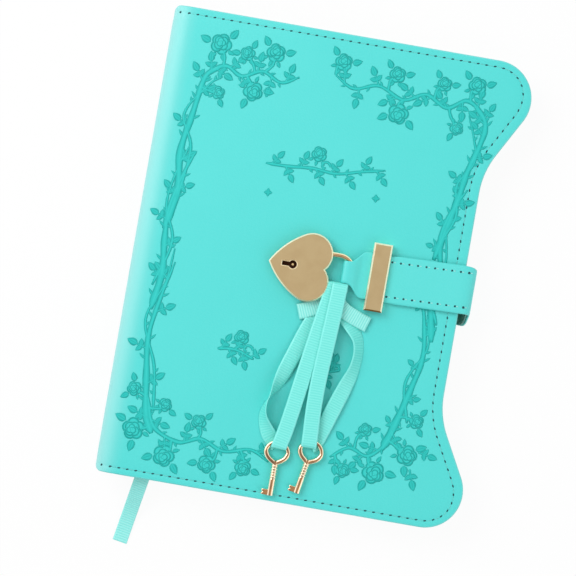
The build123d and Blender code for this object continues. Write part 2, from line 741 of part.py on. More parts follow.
# Key ribbon: from over the knot to the key, through its bow and back along the cover to the knot
ribbon_floor = cover_top + ribbon_lift
for ribbon_name, place, height, route in (
    ("key_ribbon_left", left_key_place, left_strip_height, left_return),
    ("key_ribbon_right", right_key_place, right_strip_height, right_return),
):
    bow = Vector(spine_x + place[0], place[1])
    to_knot = Vector(knot_x, knot_y) - bow
    along = to_knot.normalized()
    fold_tip = ring_chord - ribbon_fold_mid
    way_back = [bow + along * ring_chord, bow + along * return_start]
    way_back += [Vector(spine_x + u, v) for u, v in route]
    side = Plane(origin=bow, x_dir=along, z_dir=along.cross(Vector(0, 0, 1)))
    with BuildPart() as ribbon:
        with BuildSketch(side):
            with BuildLine():
                FilletPolyline(
                    (to_knot.length, cover_top + height),
                    (fold_tip, strip_high),
                    (fold_tip, strip_low),
                    (return_start, strip_low),
                    radius=0.95 * ribbon_fold_mid,
                )
            trace(line_width=ribbon_thickness)
        extrude(amount=ribbon_width / 2, both=True)
        with BuildSketch(Plane.XY.offset(ribbon_floor)):
            with BuildLine():
                FilletPolyline(*way_back, radius=easy_bends(way_back))
            trace(line_width=ribbon_width)
        extrude(amount=ribbon_thickness)
    ribbon.part.label = ribbon_name
    export_step(ribbon.part, f"parts/{ribbon_name}.step")
    print(ribbon_name, "fold", round(0.95 * ribbon_fold_mid, 2), [round(r) for r in easy_bends(way_back)])
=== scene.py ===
"""Diary with a wavy fore edge, a strap, a heart padlock and two keys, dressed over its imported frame.

Meshes are worked out in millimetres in the frame of the solids and written in metres.
"""

import logging
import math
from dataclasses import dataclass, field
from enum import Enum
from typing import Any, Optional, Sequence

import bmesh
import bpy
import numpy as np
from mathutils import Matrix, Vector


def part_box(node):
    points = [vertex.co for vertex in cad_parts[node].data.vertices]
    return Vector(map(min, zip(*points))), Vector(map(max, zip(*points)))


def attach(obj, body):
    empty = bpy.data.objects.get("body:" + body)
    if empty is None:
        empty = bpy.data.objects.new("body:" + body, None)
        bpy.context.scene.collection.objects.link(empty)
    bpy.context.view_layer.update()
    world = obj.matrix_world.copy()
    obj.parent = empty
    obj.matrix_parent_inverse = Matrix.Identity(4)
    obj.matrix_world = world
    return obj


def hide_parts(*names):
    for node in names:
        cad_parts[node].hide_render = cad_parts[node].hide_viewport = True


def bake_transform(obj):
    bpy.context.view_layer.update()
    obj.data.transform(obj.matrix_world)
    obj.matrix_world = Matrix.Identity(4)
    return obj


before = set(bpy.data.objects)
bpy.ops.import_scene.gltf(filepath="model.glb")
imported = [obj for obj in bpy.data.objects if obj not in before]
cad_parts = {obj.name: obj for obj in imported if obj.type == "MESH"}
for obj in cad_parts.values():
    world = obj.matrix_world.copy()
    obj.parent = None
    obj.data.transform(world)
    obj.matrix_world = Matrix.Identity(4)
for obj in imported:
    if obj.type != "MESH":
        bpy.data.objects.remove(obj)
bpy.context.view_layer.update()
MM = 0.001  # metres in a millimetre
MERGE = 0.0005  # points this near to each other, in millimetres, become one
COMMON_NOISE = (0.35, 0.65)  # where most values of a noise lie
WHITE = (1.0, 1.0, 1.0, 1.0)
Colour = tuple[int, int, int]
Pair = tuple[float, float]
log = logging.getLogger("diary")


def box_end(node: str, side: int, axis: int) -> float:
    """Where a node's box ends along an axis in millimetres: low for side 0 and high for side 1."""
    return round(float(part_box(node)[side][axis]) / MM, 2)


COVER_TOP = box_end("front_skin", 1, 2)
SPINE_X = box_end("spine_skin", 0, 0)


class Body(Enum):
    """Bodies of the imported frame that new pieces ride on."""

    BOOK = "book"
    FRONT = "front_cover"
    STRAP = "strap"
    LEFT_KEY = "left_key"
    RIGHT_KEY = "right_key"


class Slot(Enum):
    """Material slots of the record."""

    SKIN = "skin"
    LINING = "lining"
    PAPER = "paper"
    CLOTH = "cloth"
    RIBBON = "ribbon"
    KEY_GOLD = "key_gold"


def smooth(value: np.ndarray, low: float, high: float) -> np.ndarray:
    """Smoothstep: 0 below low, 1 above high, 3t^2 - 2t^3 between them.

    Args:
        value: values to ease.
        low: where the ramp starts.
        high: where the ramp ends.

    Returns:
        The eased values.
    """
    t = np.clip((np.asarray(value, float) - low) / (high - low), 0.0, 1.0)
    return t * t * (3 - 2 * t)


def unit(vectors: np.ndarray) -> np.ndarray:
    """Vectors scaled to length one along the last axis."""
    return vectors / np.maximum(np.linalg.norm(vectors, axis=-1, keepdims=True), 1e-9)


def stack(*parts: Any) -> np.ndarray:
    """Coordinates broadcast together and stacked on a new last axis."""
    return np.stack(np.broadcast_arrays(*parts), axis=-1).astype(float)


def linear(red: int, green: int, blue: int) -> tuple[float, float, float, float]:
    """Display colour of 0 to 255 as the linear colour that a shader takes.

    Args:
        red: red of 0 to 255.
        green: green of 0 to 255.
        blue: blue of 0 to 255.

    Returns:
        Linear red, green and blue, and a full alpha.
    """
    display = np.array([red, green, blue]) / 255.0
    value = np.where(display <= 0.04045, display / 12.92, ((display + 0.055) / 1.055) ** 2.4)
    return float(value[0]), float(value[1]), float(value[2]), 1.0


def circle(count: int) -> np.ndarray:
    """Even angles round a full turn, without the last, which is the first again."""
    return np.linspace(0.0, 2 * math.pi, count + 1)[:-1]


def turned(x: Any, y: Any, angle: Any) -> tuple[np.ndarray, np.ndarray]:
    """Coordinates turned about the Z axis by an angle in radians."""
    c, s = np.cos(angle), np.sin(angle)
    return c * x - s * y, s * x + c * y


def further(x: float, y: float, degrees: float, far: float) -> Pair:
    """The place at a distance from x and y along an angle in degrees."""
    lean = math.radians(degrees)
    return x + far * math.cos(lean), y + far * math.sin(lean)


@dataclass
class Shell:
    """Closed surfaces of one piece, gathered as grids of quads before they become one mesh."""

    points: list = field(default_factory=list)
    loops: list = field(default_factory=list)
    totals: list = field(default_factory=list)
    uvs: list = field(default_factory=list)
    tones: list = field(default_factory=list)
    size: int = 0

    def grids(
        self,
        points: np.ndarray,
        tone: Any = 0.0,
        uv: Optional[np.ndarray] = None,
        wrap: bool = False,
        caps: bool = False,
    ) -> None:
        """Adds one grid (rows, columns, 3) or many (copies, rows, columns, 3).

        Args:
            points: places in millimetres.
            tone: shade value per point, broadcast over the points.
            uv: surface coordinates in millimetres per point, with one more column where wrapped.
            wrap: joins the last column to the first.
            caps: fills the first and last row's ring.
        """
        points = points if points.ndim == 4 else points[None]
        copies, rows, cols = points.shape[:3]
        index = self.size + np.arange(copies * rows * cols).reshape(copies, rows, cols)
        ring = np.concatenate([index, index[:, :, :1]], 2) if wrap else index
        if uv is None:
            uv = stack(np.arange(rows)[:, None], np.arange(ring.shape[2])[None, :])
        uv = np.broadcast_to(uv, ring.shape + (2,))
        corners = [(slice(None, -1), slice(None, -1)), (slice(1, None), slice(None, -1)),
                   (slice(1, None), slice(1, None)), (slice(None, -1), slice(1, None))]
        self.loops.append(np.stack([ring[:, a, b] for a, b in corners], -1).ravel())
        self.uvs.append(np.stack([uv[:, a, b] for a, b in corners], -2).reshape(-1, 2))
        self.totals.append(np.full(copies * (rows - 1) * (ring.shape[2] - 1), 4))
        if caps:
            for end in (index[:, 0], index[:, -1, ::-1]):
                self.loops.append(end.ravel())
                self.uvs.append(np.zeros((end.size, 2)))
                self.totals.append(np.full(copies, cols))
        self.points.append(points.reshape(-1, 3))
        self.tones.append(np.broadcast_to(np.asarray(tone, float), points.shape[:3]).ravel())
        self.size += copies * rows * cols

    def face(self, points: np.ndarray) -> None:
        """Adds one flat many-sided face through a closed row of points.

        Args:
            points: its corners (n, 3) in millimetres.
        """
        count = len(points)
        self.loops.append(self.size + np.arange(count))
        self.uvs.append(np.zeros((count, 2)))
        self.totals.append(np.array([count]))
        self.points.append(np.asarray(points, float))
        self.tones.append(np.zeros(count))
        self.size += count

    def piece(self, name: str, material: bpy.types.Material) -> bpy.types.Object:
        """Writes the gathered surfaces as one smooth mesh, with poles and seams closed and normals outwards.

        Args:
            name: name of the piece.
            material: its finish.

        Returns:
            The new object, at the origin.
        """
        loops = np.concatenate(self.loops).astype(np.int32)
        totals = np.concatenate(self.totals).astype(np.int32)
        starts = np.concatenate([[0], np.cumsum(totals)[:-1]]).astype(np.int32)
        mesh = bpy.data.meshes.new(name)
        mesh.vertices.add(self.size)
        mesh.vertices.foreach_set("co", (np.concatenate(self.points) * MM).astype(np.float32).ravel())
        mesh.loops.add(len(loops))
        mesh.loops.foreach_set("vertex_index", loops)
        mesh.polygons.add(len(totals))
        mesh.polygons.foreach_set("loop_start", starts)
        mesh.polygons.foreach_set("loop_total", totals)
        mesh.update(calc_edges=True)
        layer = mesh.uv_layers.new(name="UVMap")
        layer.data.foreach_set("uv", np.concatenate(self.uvs).astype(np.float32).ravel())
        shade = mesh.attributes.new("tone", "FLOAT", "POINT")
        shade.data.foreach_set("value", np.concatenate(self.tones).astype(np.float32))
        mesh.polygons.foreach_set("use_smooth", np.ones(len(totals), bool))
        work = bmesh.new()
        work.from_mesh(mesh)
        bmesh.ops.remove_doubles(work, verts=work.verts, dist=MERGE * MM)
        bmesh.ops.recalc_face_normals(work, faces=work.faces)
        work.to_mesh(mesh)
        work.free()
        mesh.materials.append(material)
        thing = bpy.data.objects.new(name, mesh)
        bpy.context.scene.collection.objects.link(thing)
        return thing


def place(
    thing: bpy.types.Object,
    body: Body,
    replaced: Sequence[str] = (),
    sharp: Optional[float] = None,
) -> bpy.types.Object:
    """Sets a piece on its body and hides the nodes it stands for.

    Args:
        thing: the piece.
        body: the body it rides on.
        replaced: the nodes that it stands for.
        sharp: angle in degrees above which edges stay crisp.

    Returns:
        The same piece.
    """
    if sharp is not None:
        thing.data.set_sharp_from_angle(angle=math.radians(sharp))
    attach(thing, body.value)
    if replaced:
        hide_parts(*replaced)
    log.info("%s on %s: %d faces", thing.name, body.value, len(thing.data.polygons))
    return thing


def add_node(
    tree: bpy.types.NodeTree, kind: str, inputs: Optional[dict] = None, **settings: Any
) -> bpy.types.Node:
    """Adds a shader node with its settings and its inputs, each a value or another node's output.

    Args:
        tree: the tree that gets the node.
        kind: the node's type after ShaderNode.
        inputs: values or sockets by input name or number.
        settings: properties of the node.

    Returns:
        The node.
    """
    node = tree.nodes.new("ShaderNode" + kind)
    for key, value in settings.items():
        setattr(node, key, value)
    for key, value in (inputs or {}).items():
        if isinstance(value, bpy.types.NodeSocket):
            tree.links.new(value, node.inputs[key])
        else:
            node.inputs[key].default_value = value
    return node


class Recipe:
    """Nodes of one finish, added and joined with short calls."""

    def __init__(self, name: str) -> None:
        """Starts an empty material with one Principled shader.

        Args:
            name: name of the material.
        """
        self.material = bpy.data.materials.new(name)
        self.material.use_nodes = True
        self.tree = self.material.node_tree
        self.tree.nodes.clear()
        self.output = self.add("OutputMaterial")
        self.shader = self.add("BsdfPrincipled")
        self.tree.links.new(self.shader.outputs[0], self.output.inputs[0])
        self.where = self.add("TexCoord").outputs

    def add(self, kind: str, inputs: Optional[dict] = None, **settings: Any) -> bpy.types.Node:
        """Adds a node to the finish."""
        return add_node(self.tree, kind, inputs, **settings)

    def reckon(self, operation: str, first: Any, second: Any = 0.0) -> Any:
        """The result of one sum, product or comparison."""
        return self.add("Math", {0: first, 1: second}, operation=operation).outputs[0]

    def parts(self, coordinates: str) -> Any:
        """The X, Y and Z of one kind of the surface's coordinates."""
        return self.add("SeparateXYZ", {"Vector": self.where[coordinates]}).outputs

    def grain(self, size: float, detail: float = 3.0, stretch: tuple[float, float, float] = (1, 1, 1)) -> Any:
        """Noise whose features are about size millimetres, in object space.

        Args:
            size: size of its features.
            detail: how many finer layers it has.
            stretch: scale of the coordinates along each axis.

        Returns:
            The noise's output, mostly within COMMON_NOISE.
        """
        spot = self.add("Mapping", {"Vector": self.where["Object"], "Scale": stretch}).outputs[0]
        noise = self.add("TexNoise", {"Vector": spot, "Scale": 1.0 / MM / size, "Detail": detail})
        return noise.outputs["Fac"]

    def pebbles(self, size: float) -> Any:
        """Distance to the nearest of many points about size millimetres apart."""
        cells = self.add("TexVoronoi", {"Vector": self.where["Object"], "Scale": 1.0 / MM / size})
        return cells.outputs["Distance"]

    def tone(self) -> Any:
        """The piece's own shade value."""
        return self.add("Attribute", attribute_name="tone").outputs["Fac"]

    def ramp(self, factor: Any, *stops: tuple[float, Colour]) -> Any:
        """Colour read along the factor through the given stops.

        Args:
            factor: output that is read.
            stops: values of the factor and their display colours.

        Returns:
            The colour's output.
        """
        node = self.add("ValToRGB", {"Fac": factor})
        band = node.color_ramp
        for number, (spot, colour) in enumerate(stops):
            stop = band.elements[number] if number < 2 else band.elements.new(spot)
            stop.position = spot
            stop.color = linear(*colour)
        return node.outputs["Color"]

    def mix(self, factor: Any, first: Any, second: Any) -> Any:
        """Two colours mixed by the factor, each a display colour or another node's output."""
        first, second = (linear(*side) if isinstance(side, tuple) else side for side in (first, second))
        return self.add("Mix", {0: factor, 6: first, 7: second}, data_type="RGBA").outputs[2]

    def span(self, value: Any, low: float, high: float, start: float = 0.0, end: float = 1.0) -> Any:
        """Value from start..end stretched to low..high."""
        limits = {"From Min": start, "From Max": end, "To Min": low, "To Max": high}
        return self.add("MapRange", {"Value": value, **limits}).outputs["Result"]

    def bump(self, *layers: tuple[Any, float]) -> None:
        """Bumps one on another.

        Args:
            layers: height and depth in millimetres of each bump, the lowest first.
        """
        normal = None
        for height, depth in layers:
            inputs = {"Height": height, "Distance": depth * MM, "Strength": 1.0}
            if normal is not None:
                inputs["Normal"] = normal
            normal = self.add("Bump", inputs).outputs["Normal"]
        self.tree.links.new(normal, self.shader.inputs["Normal"])

    def set(self, **values: Any) -> bpy.types.Material:
        """Sets shader inputs, with underscores for spaces, and returns the material.

        Args:
            values: values or other nodes' outputs by input name.

        Returns:
            The material.
        """
        for key, value in values.items():
            socket = self.shader.inputs[key.replace("_", " ")]
            if isinstance(value, bpy.types.NodeSocket):
                self.tree.links.new(value, socket)
            else:
                socket.default_value = value
        return self.material


@dataclass(frozen=True)
class Leather:
    """Soft coated leather: a calm colour that pales with its tone, as wear where it is rubbed and as a
    painted highlight along the spine's roll, and a fine pebble.

    The fine grain and the slow wave are each the size of its features and its depth in millimetres.
    """

    name: str
    body: Colour
    deep: Colour
    rubbed_and_sheen: Colour
    roughness: float = 0.6
    pebble: float = 0.75
    pebble_depth: float = 0.02
    fine: Pair = (0.35, 0.012)
    wave: Pair = (9.0, 0.05)
    cloud: float = 38.0
    patch: float = 0.9
    uneven: float = 0.06

    def material(self) -> bpy.types.Material:
        """Builds the finish.

        Returns:
            The material.
        """
        made = Recipe(self.name)
        cloud = made.ramp(made.grain(self.cloud, 2.0), (0.3, self.deep), (0.7, self.body))
        # tone mixes to the pale colour: wear on rubbed edges, and a painted highlight near the spine
        colour = made.mix(made.tone(), cloud, self.rubbed_and_sheen)
        layers = [(made.grain(size, 2.0), depth) for size, depth in (self.fine, self.wave)]
        made.bump((made.pebbles(self.pebble), self.pebble_depth), *layers)
        low, high = self.roughness - self.uneven, self.roughness + self.uneven
        rough = made.span(made.grain(self.patch, 2.0), low, high, *COMMON_NOISE)
        return made.set(Base_Color=colour, Roughness=rough, Specular_IOR_Level=1.0,
                        Coat_Weight=1.0, Coat_Roughness=0.6)


@dataclass(frozen=True)
class Tooling:
    """Pressed ornament: tone 0 is the raised lip round a form, painted light as a highlight; 0.4 its face,
    darker as pressed leather is; 1 the line of the die, dark partly from the pressing and partly as painted
    shade.
    """

    name: str
    lip: Colour
    face: Colour
    line: Colour
    patch: float = 3.0
    worn: float = 0.25
    grit: Pair = (0.5, 0.012)
    sheen: Pair = (0.38, 0.5)

    def material(self) -> bpy.types.Material:
        """Builds the finish.

        Returns:
            The material.
        """
        made = Recipe(self.name)
        pressed = made.ramp(made.tone(), (0.0, self.lip), (0.4, self.face), (1.0, self.line))
        worn = made.span(made.grain(self.patch, 2.0), 0.0, self.worn, *COMMON_NOISE)
        colour = made.mix(worn, pressed, self.face)
        made.bump((made.grain(self.grit[0], 2.0), self.grit[1]))
        rough = made.span(made.grain(self.patch / 2), *self.sheen, *COMMON_NOISE)
        return made.set(Base_Color=colour, Roughness=rough, Specular_IOR_Level=0.25)


@dataclass(frozen=True)
class Thread:
    """Sewing thread with its twist, or, where the tone is 1, the painted shade of a needle hole."""

    name: str
    thread: Colour
    hole: Colour
    shade: float = 0.82
    twist: float = 0.3
    depth: float = 0.03

    def material(self) -> bpy.types.Material:
        """Builds the finish.

        Returns:
            The material.
        """
        made = Recipe(self.name)
        twist = made.grain(self.twist, 1.0, (1.0, 2.0, 1.0))
        shaded = tuple(int(channel * self.shade) for channel in self.thread)
        lit = made.ramp(twist, (COMMON_NOISE[0], shaded), (COMMON_NOISE[1], self.thread))
        made.bump((twist, self.depth))
        return made.set(Base_Color=made.mix(made.tone(), lit, self.hole), Roughness=0.6)


@dataclass(frozen=True)
class Grosgrain:
    """Ribbed ribbon: UV runs in millimetres along (x) and across from 0 to width (y). Rib crests are painted
    lighter and the hollows between them darker, as light and shade on the ribs.
    """

    name: str
    lit_crest: Colour
    valley_shade_and_yarn: Colour
    selvedge: Colour
    width: float
    edge: float
    edge_fade: float = 0.2
    yarn_scale: float = 2.2
    yarn_stretch: tuple[float, float, float] = (1.0, 6.0, 1.0)
    yarn_shade: float = 0.25
    yarn_depth: float = 0.05

    def material(self) -> bpy.types.Material:
        """Builds the finish.

        Returns:
            The material.
        """
        made = Recipe(self.name)
        off_centre = made.reckon("SUBTRACT", made.parts("UV")["Y"], self.width / 2)
        plain = self.width / 2 - self.edge
        at_edge = made.span(made.reckon("ABSOLUTE", off_centre), 0.0, 1.0, plain, plain + self.edge_fade)
        # painted light and shade: light on rib crests, dark in the hollows between ribs
        ribs = made.mix(made.tone(), self.lit_crest, self.valley_shade_and_yarn)
        colour = made.mix(at_edge, ribs, self.selvedge)
        drawn = made.add("Mapping", {"Vector": made.where["UV"], "Scale": self.yarn_stretch}).outputs[0]
        noise = {"Vector": drawn, "Scale": self.yarn_scale, "Detail": 2.0}
        yarn = made.add("TexNoise", noise).outputs["Fac"]
        # the yarn noise also mixes towards the darker colour at random
        colour = made.mix(made.span(yarn, 0.0, self.yarn_shade, *COMMON_NOISE), colour, self.valley_shade_and_yarn)
        made.bump((yarn, self.yarn_depth))
        return made.set(Base_Color=colour, Roughness=0.5, Specular_IOR_Level=1.0,
                        Coat_Weight=0.4, Coat_Roughness=0.5)


@dataclass(frozen=True)
class Paper:
    """Paper stock with faint fibres, which lie in layers on cut edges, and on leaves with ruled lines."""

    name: str
    stock: Colour
    shade: Colour
    ruled: bool = False
    fibre: float = 2.5
    stretch: tuple[float, float, float] = (1.0, 0.4, 1.0)
    ink: Colour = (158, 200, 200)
    line_pitch: float = 7.0
    line_width: float = 0.4
    level: Pair = (0.95, 0.99)
    tooth: Pair = (0.6, 0.015)

    def material(self) -> bpy.types.Material:
        """Builds the finish.

        Returns:
            The material.
        """
        made = Recipe(self.name)
        laid = made.grain(self.fibre, 4.0, self.stretch)
        fibres = made.ramp(laid, (0.3, self.shade), (0.7, self.stock))
        # tone 1 takes the darker colour: on the page block, painted shade between the leaves
        colour = made.mix(made.tone(), fibres, self.shade)
        if self.ruled:
            step = made.reckon("FLOORED_MODULO", made.parts("Object")["Y"], self.line_pitch * MM)
            line = made.reckon("LESS_THAN", step, self.line_width * MM)
            facing = made.reckon("ABSOLUTE", made.parts("Normal")["Z"])
            line = made.reckon("MULTIPLY", line, made.span(facing, 0.0, 1.0, *self.level))
            colour = made.mix(line, colour, self.ink)
        made.bump((made.grain(self.tooth[0], 3.0), self.tooth[1]))
        return made.set(Base_Color=colour, Roughness=0.8)


@dataclass(frozen=True)
class Metal:
    """Plated metal: fine brushing, a little cloud, and painted highlights and reflections: faces that turn
    from looking up take the edge colour, and those towards -Y the end colour.
    """

    name: str
    plate: Colour
    dark: Colour
    roughness: float
    brush: tuple[float, float, float] = (1.0, 8.0, 1.0)
    edge: Optional[Colour] = None
    end: Optional[Colour] = None
    tail: Pair = (-0.35, -0.7)
    level: Pair = (0.82, 0.98)
    cloud: float = 6.0
    scratch: Pair = (0.5, 0.002)
    sheen: Pair = (0.85, 1.2)

    def material(self) -> bpy.types.Material:
        """Builds the finish.

        Returns:
            The material.
        """
        made = Recipe(self.name)
        colour = made.ramp(made.grain(self.cloud, 3.0), (0.35, self.dark), (0.6, self.plate))
        # painted highlight and reflection, chosen by the way each face looks
        if self.edge:
            facing = made.parts("Normal")
            at_tail = made.span(facing["Y"], 0.0, 1.0, *self.tail)
            rim = made.mix(at_tail, self.edge, self.end or self.edge)
            colour = made.mix(made.span(facing["Z"], 0.0, 1.0, *self.level), rim, colour)
        brushed = made.grain(self.scratch[0], 2.0, self.brush)
        made.bump((brushed, self.scratch[1]))
        low, high = (self.roughness * share for share in self.sheen)
        rough = made.span(brushed, low, high, *COMMON_NOISE)
        return made.set(Base_Color=colour, Metallic=1.0, Roughness=rough)


@dataclass(frozen=True)
class Weave:
    """Plain woven cloth: two crossed sets of yarns, painted darker where the weave is low as shade between
    the yarns.
    """

    name: str
    yarn: Colour
    shade: Colour
    pitch: float = 0.6
    depth: float = 0.08
    wave_unit: float = 20.0  # radians to the metre in a wave texture whose scale is 1

    def material(self) -> bpy.types.Material:
        """Builds the finish.

        Returns:
            The material.
        """
        made = Recipe(self.name)
        scale = 2 * math.pi / (self.pitch * MM) / self.wave_unit
        inputs = {"Vector": made.where["Object"], "Scale": scale}
        yarns = [made.add("TexWave", inputs, bands_direction=way) for way in ("Z", "DIAGONAL")]
        crossed = made.reckon("MULTIPLY", *(yarn.outputs["Fac"] for yarn in yarns))
        made.bump((crossed, self.depth))
        # painted shade: darker where the crossed yarns are low
        colour = made.ramp(crossed, (0.1, self.shade), (0.6, self.yarn))
        return made.set(Base_Color=colour, Roughness=0.85)


class Finishes:
    """Every finish of the diary, built once."""

    def __init__(self) -> None:
        """Builds the materials."""
        # hole: the painted shade inside a needle hole
        hole, gold, gold_dark = (2, 70, 76), (188, 165, 124), (184, 160, 119)
        # cream and amber: painted highlight on metal edges and a painted darker reflection on the keeper's
        # tail side
        cream, amber = (255, 240, 208), (176, 112, 62)
        self.skin = Leather("skin_leather", (36, 215, 210), (30, 213, 208), (150, 224, 222)).material()
        self.strap = Leather("strap_leather", (54, 218, 213), (48, 216, 211), (132, 225, 221)).material()
        self.inside = Leather(
            "inner_leather", (52, 140, 130), (40, 122, 112), (90, 180, 170), 0.66, 0.5).material()
        self.lining = Leather(
            "lining_leather", (64, 200, 195), (54, 192, 187), (130, 224, 220), 0.6, 0.5).material()
        self.tooling = Tooling("pressed_ornament", (118, 240, 236), (46, 204, 197), (0, 156, 150)).material()
        self.thread = Thread("sewing_thread", (112, 226, 221), hole).material()
        # the strap's thread is pale: a painted glint of thread beside each hole
        self.glinting_thread = Thread("strap_thread", (176, 244, 240), hole).material()
        self.ribbon = Grosgrain(
            "key_ribbon", (124, 240, 230), (88, 228, 217), (122, 242, 233), 7.1, 0.9).material()
        self.tails = Grosgrain(
            "ribbon_tails", (168, 249, 242), (104, 228, 218), (150, 246, 239), 7.1, 0.5).material()
        self.bookmark = Grosgrain(
            "bookmark_ribbon", (160, 244, 238), (124, 232, 225), (152, 244, 238), 6.8, 0.6).material()
        self.page = Paper(
            "page_edges", (250, 247, 238), (224, 217, 201), True, 0.9, (0.015, 0.015, 1.0)).material()
        self.leaf = Paper("ruled_leaf", (248, 245, 236), (243, 239, 229), True).material()
        self.endpaper = Paper("endpaper", (240, 246, 244), (234, 242, 240)).material()
        self.board = Paper("grey_board", (176, 170, 160), (150, 144, 134)).material()
        # gold, bar and shackle take cream edges: painted highlights on their bevels
        self.gold = Metal("satin_gold", gold, gold_dark, 0.34, edge=cream).material()
        self.bar = Metal("bar_gold", gold, gold_dark, 0.34, edge=cream, end=amber).material()
        # the case's faces that look up, the keyhole's floor, are dark brown: partly dull unplated metal,
        # partly painted shade of the deep keyhole
        self.case = Metal("lock_case", (72, 43, 31), (54, 31, 21), 0.5, edge=gold).material()
        self.bright = Metal(
            "bright_gold", (204, 170, 122), (188, 150, 102), 0.22, edge=(255, 238, 204)).material()
        # key: brown faces that look up and cream sides, a painted dark reflection and a painted highlight
        self.key = Metal(
            "key_gold", (166, 123, 84), (138, 98, 64), 0.18, (1.0, 1.0, 8.0), (255, 236, 208)).material()
        self.steel = Metal("plated_steel", (206, 178, 132), (186, 158, 114), 0.25).material()
        self.cloth = Weave("band_cloth", (226, 240, 238), (120, 196, 192)).material()


def spline_points(controls: np.ndarray, steps: int = 24) -> np.ndarray:
    """Points read from a quadratic NURBS spline whose control points are the given ones.

    Args:
        controls: control points in millimetres.
        steps: points per span.

    Returns:
        The spline's points in millimetres.
    """
    curve = bpy.data.curves.new("route", "CURVE")
    curve.dimensions = "3D"
    spline = curve.splines.new("NURBS")
    spline.points.add(len(controls) - 1)
    spline.points.foreach_set("co", np.column_stack([controls * MM, np.ones(len(controls))]).ravel())
    spline.order_u = 3
    spline.use_endpoint_u = True
    spline.resolution_u = steps
    carrier = bpy.data.objects.new("route", curve)
    mesh = bpy.data.meshes.new_from_object(carrier)
    found = np.zeros(len(mesh.vertices) * 3, np.float32)
    mesh.vertices.foreach_get("co", found)
    bpy.data.objects.remove(carrier)
    bpy.data.curves.remove(curve)
    bpy.data.meshes.remove(mesh)
    return found.reshape(-1, 3).astype(float) / MM


def evenly(
    path: np.ndarray, others: Sequence[np.ndarray], pitch: float
) -> tuple[np.ndarray, list, np.ndarray]:
    """A path read at even distances along it, with values carried along.

    Args:
        path: points in millimetres.
        others: arrays with one row per point.
        pitch: wanted distance between points.

    Returns:
        The points, the other arrays, and the distance of each point.
    """
    far = np.concatenate([[0.0], np.cumsum(np.linalg.norm(np.diff(path, axis=0), axis=1))])
    at = np.linspace(0.0, far[-1], max(int(round(far[-1] / pitch)) + 1, 4))

    def read(values: np.ndarray) -> np.ndarray:
        """Each column of values at the even distances."""
        return np.stack([np.interp(at, far, column) for column in np.asarray(values, float).T], -1)

    return read(path), [read(other) for other in others], at


@dataclass(frozen=True)
class Outline:
    """Cover outline: straight head and tail, round wings and a drawn-in waist at the fore edge."""

    half: float = 107.5
    right: float = 83.5
    waist: float = 67.3
    wing: float = 17.2
    slope: float = 28.5
    blend: float = 38.0

    def edge(self, inset: np.ndarray | float) -> tuple[np.ndarray, np.ndarray]:
        """Fore edge from the head wing's start to the tail wing's end, drawn in by inset.

        A quarter-and-a-bit arc of the wing, the straight slope, the concave blend and the straight waist,
        each met at a tangent, then the same mirrored about the X axis.

        Args:
            inset: distance drawn in, one value or one per point.

        Returns:
            Points (n, 2) and outward normals (n, 2).
        """
        lean = math.radians(self.slope)
        centre = np.array([self.right - self.wing, self.half - self.wing])
        corner = centre[0] + self.wing * math.tan(math.radians(90 + self.slope) / 2)
        neck = self.half - (corner - self.waist) / math.tan(lean)
        hip = neck - self.blend * math.tan(lean / 2)
        round_wing = np.linspace(math.pi / 2, -lean, 30)
        wing = centre + self.wing * stack(np.cos(round_wing), np.sin(round_wing))
        bend = np.linspace(-lean, 0.0, 16)
        hollow = np.array([self.waist + self.blend, hip]) - self.blend * stack(np.cos(bend), np.sin(bend))
        slope = wing[-1] + (hollow[0] - wing[-1]) * np.linspace(0.0, 1.0, 12)[1:-1, None]
        waist = stack(self.waist, np.linspace(hip, 0.0, 24)[1:])
        angle = np.concatenate([round_wing, np.full(len(slope), -lean), bend, np.zeros(len(waist))])
        upper = np.concatenate([wing, slope, hollow, waist])
        points = np.concatenate([upper, upper[-2::-1] * [1, -1]])
        normals = stack(np.cos(angle), np.sin(angle))
        normals = np.concatenate([normals, normals[-2::-1] * [1, -1]])
        return points - normals * np.reshape(inset, (-1, 1)), normals


